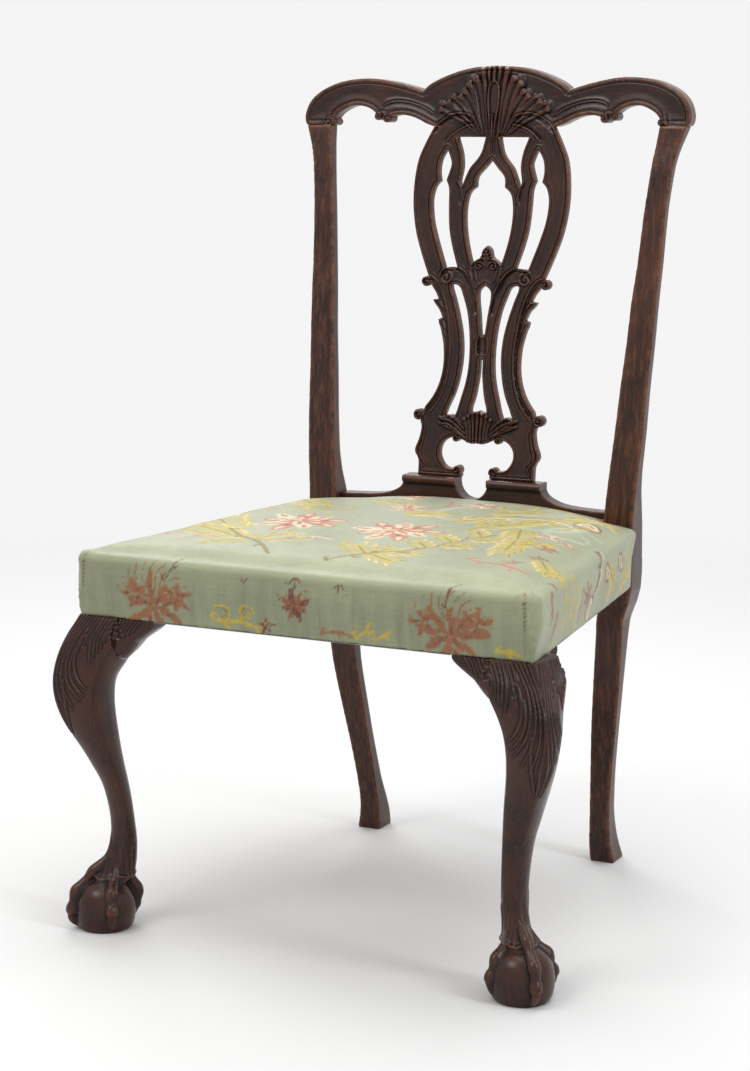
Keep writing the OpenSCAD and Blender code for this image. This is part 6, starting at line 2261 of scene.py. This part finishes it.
    def fullness(self, spots: Points) -> np.ndarray:
        """How far the stuffing fills out the cloth on both sides of its front edges."""
        x, y = spots.T
        inward = np.minimum(y, self.side_x(np.clip(y, 0.0, self.length), 0.0) - np.abs(x))
        behind = ramp_between(y, self.length - 8.0, self.length - 60.0)
        above = 7.0 * np.exp(-((inward - 38.0) / np.where(inward < 38.0, 25.0, 75.0)) ** 2)
        below = 5.6 * np.exp(-((inward + 34.0) / 19.0) ** 2)
        return (above + below) * behind

    def creases(self, spots: Points) -> np.ndarray:
        """Height of the cloth's folds, pleats and stuffing, in millimetres."""
        x, y = spots.T
        down = ramp_between(y, -6.0, -26.0)
        wander = x + 1.5 * np.sin(y / 13.0)
        lift = self.fullness(spots)
        for at, depth, wide in ((-216, 0.4, 5), (-123, 0.8, 3.2), (-62, 0.35, 4), (12, 0.35, 4),
                                (70, 0.8, 3.5),
                                (126, 0.9, 4), (148, 0.55, 3), (171, 0.5, 3), (226, 0.6, 4)):
            lift -= depth * 2.6 * np.exp(-((wander - at) / wide) ** 2) * down
            lift += depth * 1.3 * np.exp(-((wander - at - wide * 2.1) / (wide * 1.5)) ** 2) * down
        fine = np.sin(x * 0.9 + 2.1 * np.sin(x * 0.07)) + 0.6 * np.sin(x * 1.7 + y * 0.05)
        lift += 0.4 * fine * down * (0.5 + 0.5 * np.sin(x / 37.0) ** 2)
        beside = ramp_between(np.abs(x), 255.0, 285.0) * ramp_between(y, 12.0, 40.0)
        lift += 0.35 * np.sin(y / 11.0 + 1.4 * np.sin(y / 29.0)) * beside
        on_top = ramp_between(y, 4.0, 40.0)
        lift += on_top * (0.55 * np.sin(x / 23 + np.sin(y / 31)) * np.sin(y / 27 + 0.4) + 0.2)
        for side in (-1.0, 1.0):
            seam = np.array([(262.0 * side, 2.0), (264.5 * side, -30.0), (267.0 * side, -64.0)])
            away, _, _ = Line(seam).near(spots)
            lift -= 1.1 * np.exp(-(away / 1.7) ** 2)
            lift += 1.3 * np.exp(-((away - 5.5) / 3.0) ** 2)
            lift += 1.9 * np.exp(-((x - 262.0 * side) ** 2 + (y + 2.0) ** 2) / 60.0)
        return np.clip(lift, -1.1, 8.5)

    def stitches(self, thing: bpy.types.Object, spots: Points) -> None:
        """Colours the stitches that close the two front corners."""
        tint = thing.data.color_attributes["silk"]
        colour = np.empty(len(spots) * 4, np.float32)
        tint.data.foreach_get("color", colour)
        colour = colour.reshape(-1, 4)
        for side in (-1.0, 1.0):
            seam = np.array([(262.0 * side, 0.0), (264.5 * side, -30.0), (267.0 * side, -64.0)])
            away, run, _ = Line(seam).near(spots)
            on = smoothstep((1.7 - away) / 0.8) * (np.sin(run * 1.5) > -0.1)
            colour[:, :3] += (np.array(Dye.MADDER.value) - colour[:, :3]) * on[:, None] * 0.85
        tint.data.foreach_set("color", colour.ravel())

    def hem(self) -> list[bpy.types.Object]:
        """Makes the strips of silk that are turned under the rails."""
        strips = []
        front = [(-178.5, 0.6), (178.5, 0.6), (178.5, 17.5), (-178.5, 17.5)]
        outer = [(self.side_x(y, 0.6), y) for y in (94.5, 434.0)]
        inner = [(self.side_x(y, 17.0), y) for y in (434.0, 94.5)]
        for name, ring in (("front", front), ("right", [*outer, *inner]),
                           ("left", [(-x, y) for x, y in [*outer, *inner]])):
            rings = [[(x, y - PLAN_MID, z) for x, y in ring] for z in (362.9, 364.2)]
            strip = lofted("hem_" + name, [np.array(r) for r in rings])
            apply_modifier(strip, "BEVEL", width=0.0005, segments=2)
            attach(strip, BODY)
            strip.data.materials.append(FINISHES.get(LINING))
            shade(strip, 40.0)
            strips.append(strip)
        return strips

    def build(self) -> None:
        thing = self.shell()
        self.puffed(thing)
        spots = np.column_stack([self.values(thing, "cloth_x"), self.values(thing, "cloth_y")])
        lift = self.creases(spots) * self.values(thing, "face")
        set_corners(thing, corners(thing) + point_normals(thing) * lift[:, None] * MM)
        Brocade().paint(thing, spots)
        self.stitches(thing, spots)
        shade(thing)
        thing.data.materials.append(FINISHES.get(SILK))
        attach(thing, BODY)
        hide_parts("seat_cover")
        log.info("seat cover: %d points", len(thing.data.vertices))
# what is under the silk


@dataclass
class Filling:
    """The seat's layers from the webbing up, each kept in its own space."""

    lump: float = 0.5

    def layer(self, node: str, name: str, finish, rounds: int, sunk: float) -> bpy.types.Object:
        """Makes one layer in the place of its solid.

        Args:
            node: The CAD node that it replaces.
            name: Name of the piece.
            finish: Its finish.
            rounds: How many times its faces are divided.
            sunk: How far its hollows go in, in millimetres.

        Returns:
            The piece, dressed and riding on the chair.
        """
        thing = node_copy(node, name)
        for _ in range(rounds):
            fine_faces(thing, lambda places: np.full(len(places), True))
        places = corners(thing)
        x, y, z = (places / MM).T
        wave = (0.5 + 0.25 * np.sin(x / 9.0 + np.sin(y / 13.0))
                + 0.25 * np.sin(y / 7.0 + np.sin(z / 5.0 + x / 17.0)))
        set_corners(thing, places - point_normals(thing) * (wave * sunk * MM)[:, None])
        shade(thing, 50.0)
        thing.data.materials.clear()
        thing.data.materials.append(FINISHES.get(finish))
        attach(thing, BODY)
        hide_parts(node)
        return thing

    def cloth(self, thing: bpy.types.Object, held: str) -> None:
        """Reads the places of a thin cloth's points, and does nothing more with them."""
        spots = corners(thing)

    def ragged(self, thing: bpy.types.Object) -> None:
        """Frays the lower edge of the lining's scrap."""
        places = corners(thing)
        low, high = places[:, 2].min(), places[:, 2].max()
        share = np.clip(1.0 - (places[:, 2] - low) / (high - low), 0.0, 1.0) ** 3
        bite = 0.5 + 0.5 * np.sin(places[:, 1] / MM * 1.9 + np.sin(places[:, 1] / MM * 0.7))
        places[:, 2] += share * bite * (high - low) * 0.2
        set_corners(thing, places)

    def build(self) -> None:
        """Makes every layer."""
        self.layer("seat_stuffing", "horsehair_stuffing", HAIR, 2, self.lump)
        self.layer("edge_roll", "stuffed_edge_roll", SACKING, 1, self.lump)
        self.cloth(self.layer("linen_cover", "linen_under_cover", LINEN, 1, 0.02), "stretched")
        self.cloth(self.layer("sackcloth", "sackcloth_base", SACKING, 2, 0.04), "stretched")
        for way in ("lengthwise", "crosswise"):
            self.layer("webbing_" + way, "jute_webbing_" + way, WEBBING, 2, 0.05)
        scrap = self.layer("lining_tab", "lining_scrap", LINING, 3, 0.03)
        self.ragged(scrap)
        self.cloth(scrap, "hung")
        log.info("filling: seven layers")
# pieces kept from the CAD


@dataclass
class SeatFrame:
    """Rails, blocks, pegs, nails and tacks, which keep the shape they have."""

    finishes: dict[str, object] = field(default_factory=lambda: {
        "front_rail": TIMBER, "rear_rail": TIMBER,
        "side_rail_left": TIMBER_DEEP, "side_rail_right": TIMBER_DEEP,
        "corner_block_front_left": TIMBER, "corner_block_front_right": TIMBER,
        "corner_block_rear_left": TIMBER, "corner_block_rear_right": TIMBER,
        "joint_pegs": PEG_TIMBER, "shoe_nails": IRON, "webbing_tacks": IRON,
        "cover_tacks": IRON, "webbing_lengthwise": WEBBING, "webbing_crosswise": WEBBING,
        "sackcloth": SACKING, "linen_cover": LINEN, "seat_stuffing": HAIR, "edge_roll": SACKING,
        "lining_tab": LINING, "rear_leg_left": UPRIGHT_WOOD, "rear_leg_right": UPRIGHT_WOOD,
        "front_leg_left": UPRIGHT_WOOD, "front_leg_right": UPRIGHT_WOOD,
        "splat_shoe": CROSS_WOOD, "seat_cover": SILK,
        "knee_bracket_front_left": UPRIGHT_WOOD, "knee_bracket_front_right": UPRIGHT_WOOD,
        "knee_bracket_side_left": UPRIGHT_WOOD, "knee_bracket_side_right": UPRIGHT_WOOD,
    })

    def build(self) -> None:
        """Gives each carried-over piece its finish."""
        for node, finish in self.finishes.items():
            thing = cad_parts[node]
            thing.data.materials.clear()
            thing.data.materials.append(FINISHES.get(finish))
        log.info("seat frame: %d pieces dressed", len(self.finishes))
# camera and studio


@dataclass
class Camera:
    """The camera of the photograph, found from the chair's own lines."""

    place: tuple[float, float, float] = (1174.46, -2206.84 - PLAN_MID, 895.44)
    yaw: float = 26.13
    pitch: float = 9.56
    roll: float = 0.29
    focal_px: float = 2400.6
    image_px: tuple[int, int] = (750, 1071)

    def build(self) -> bpy.types.Object:
        """Adds the camera and makes it the scene's.

        Returns:
            The camera.
        """
        yaw, pitch, roll = (math.radians(v) for v in (self.yaw, self.pitch, self.roll))
        ahead = Vector((-math.sin(yaw) * math.cos(pitch), math.cos(yaw) * math.cos(pitch),
                        -math.sin(pitch)))
        level = Vector((math.cos(yaw), math.sin(yaw), 0.0))
        above = level.cross(ahead)
        right = level * math.cos(roll) + above * math.sin(roll)
        up = above * math.cos(roll) - level * math.sin(roll)
        data = bpy.data.cameras.new("camera")
        data.sensor_fit = "AUTO"
        data.sensor_width = 36.0
        data.lens = self.focal_px * data.sensor_width / max(self.image_px)
        data.clip_end = 50.0
        camera = bpy.data.objects.new("camera", data)
        bpy.context.collection.objects.link(camera)
        turn = Matrix((right, up, -ahead)).transposed().to_4x4()
        camera.matrix_world = Matrix.Translation(Vector(self.place) * MM) @ turn
        bpy.context.scene.camera = camera
        return camera


@dataclass
class Lamp:
    """One soft lamp: where it hangs, how large it is and how strong."""

    name: str
    place: tuple[float, float, float]
    size: tuple[float, float]
    watts: float
    tint: Colour = (1.0, 1.0, 1.0)
    aim: tuple[float, float, float] = (0.0, 0.0, 0.5)

    def build(self) -> None:
        """Hangs the lamp and turns it to what it lights."""
        data = bpy.data.lights.new(self.name, "AREA")
        data.shape = "RECTANGLE"
        data.size, data.size_y = self.size
        data.energy = self.watts
        data.color = self.tint
        lamp = bpy.data.objects.new(self.name, data)
        bpy.context.collection.objects.link(lamp)
        lamp.location = self.place
        look = Vector(self.aim) - Vector(self.place)
        lamp.rotation_euler = look.to_track_quat("-Z", "Y").to_euler()


@dataclass
class Studio:
    """Pale floor, soft lamps and a white surround."""

    floor_tone: float = 0.75
    near: float = 1.1
    far: float = 2.7
    surround: float = 0.91
    fill: float = 0.52
    lamps: tuple[Lamp, ...] = (
        Lamp("key_lamp", (-1.0, -2.2, 2.9), (1.5, 1.2), 33.0, (1.0, 0.98, 0.95)),
        Lamp("side_lamp", (2.6, -0.6, 1.9), (0.6, 1.8), 26.0, (0.95, 0.98, 1.0)),
        Lamp("rear_lamp", (-1.6, 1.9, 2.3), (1.6, 1.2), 30.0),
        Lamp("top_lamp", (0.2, 0.2, 3.1), (2.4, 2.4), 56.0),
    )

    def floor_material(self) -> bpy.types.Material:
        """Pale floor that fades into the surround; returns its material."""
        g = Graph("studio_floor")
        where = g.add("ShaderNodeTexCoord").outputs["Object"]
        reach = g.add("ShaderNodeVectorMath", {0: where}, operation="LENGTH").outputs["Value"]
        fade = g.span(reach, self.near, self.far)
        tone = (self.floor_tone, self.floor_tone, self.floor_tone)
        diffuse = g.add("ShaderNodeBsdfDiffuse", {"Color": tone})
        clear = g.add("ShaderNodeBsdfTransparent")
        both = g.add("ShaderNodeMixShader", {0: fade, 1: diffuse.outputs[0], 2: clear.outputs[0]})
        g.tree.links.new(both.outputs[0], g.output.inputs["Surface"])
        return g.material

    def build(self) -> None:
        """Lays the floor, hangs the lamps and lights the surround."""
        bpy.ops.object.select_all(action="DESELECT")
        bpy.ops.mesh.primitive_circle_add(vertices=96, radius=self.far, fill_type="NGON")
        floor = bpy.context.object
        floor.name = "studio_floor"
        floor.data.materials.append(self.floor_material())
        for lamp in self.lamps:
            lamp.build()
        world = bpy.context.scene.world or bpy.data.worlds.new("surround")
        bpy.context.scene.world = world
        bpy.context.scene.view_settings.view_transform = "Standard"
        world.use_nodes = True
        tree = world.node_tree
        tree.nodes.clear()
        rays = tree.nodes.new("ShaderNodeLightPath")
        seen = tree.nodes.new("ShaderNodeMath")
        seen.operation = "MAXIMUM"
        tree.links.new(rays.outputs["Is Camera Ray"], seen.inputs[0])
        tree.links.new(rays.outputs["Is Transmission Ray"], seen.inputs[1])
        clear = tree.nodes.new("ShaderNodeMath")
        clear.operation = "MAXIMUM"
        tree.links.new(seen.outputs[0], clear.inputs[0])
        tree.links.new(rays.outputs["Is Glossy Ray"], clear.inputs[1])
        strength = tree.nodes.new("ShaderNodeMix")
        strength.inputs[2].default_value = self.fill
        strength.inputs[3].default_value = self.surround
        tree.links.new(clear.outputs[0], strength.inputs[0])
        light = tree.nodes.new("ShaderNodeBackground")
        light.inputs["Color"].default_value = (1.0, 1.0, 1.0, 1.0)
        tree.links.new(strength.outputs[0], light.inputs["Strength"])
        out = tree.nodes.new("ShaderNodeOutputWorld")
        tree.links.new(light.outputs[0], out.inputs["Surface"])
# making


def main() -> None:
    """Builds the chair's looks, piece by piece, round the fixed frame."""
    logging.basicConfig(level=logging.INFO, format="%(message)s")
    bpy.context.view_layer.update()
    Camera().build()
    Studio().build()
    SeatFrame().build()
    Back().build()
    for side in Side:
        FrontLeg(side).build()
        RearLeg(side).build()
    Shoe().build()
    seat = Cover()
    seat.build()
    seat.hem()
    Filling().build()


if __name__ == "__main__":
    main()
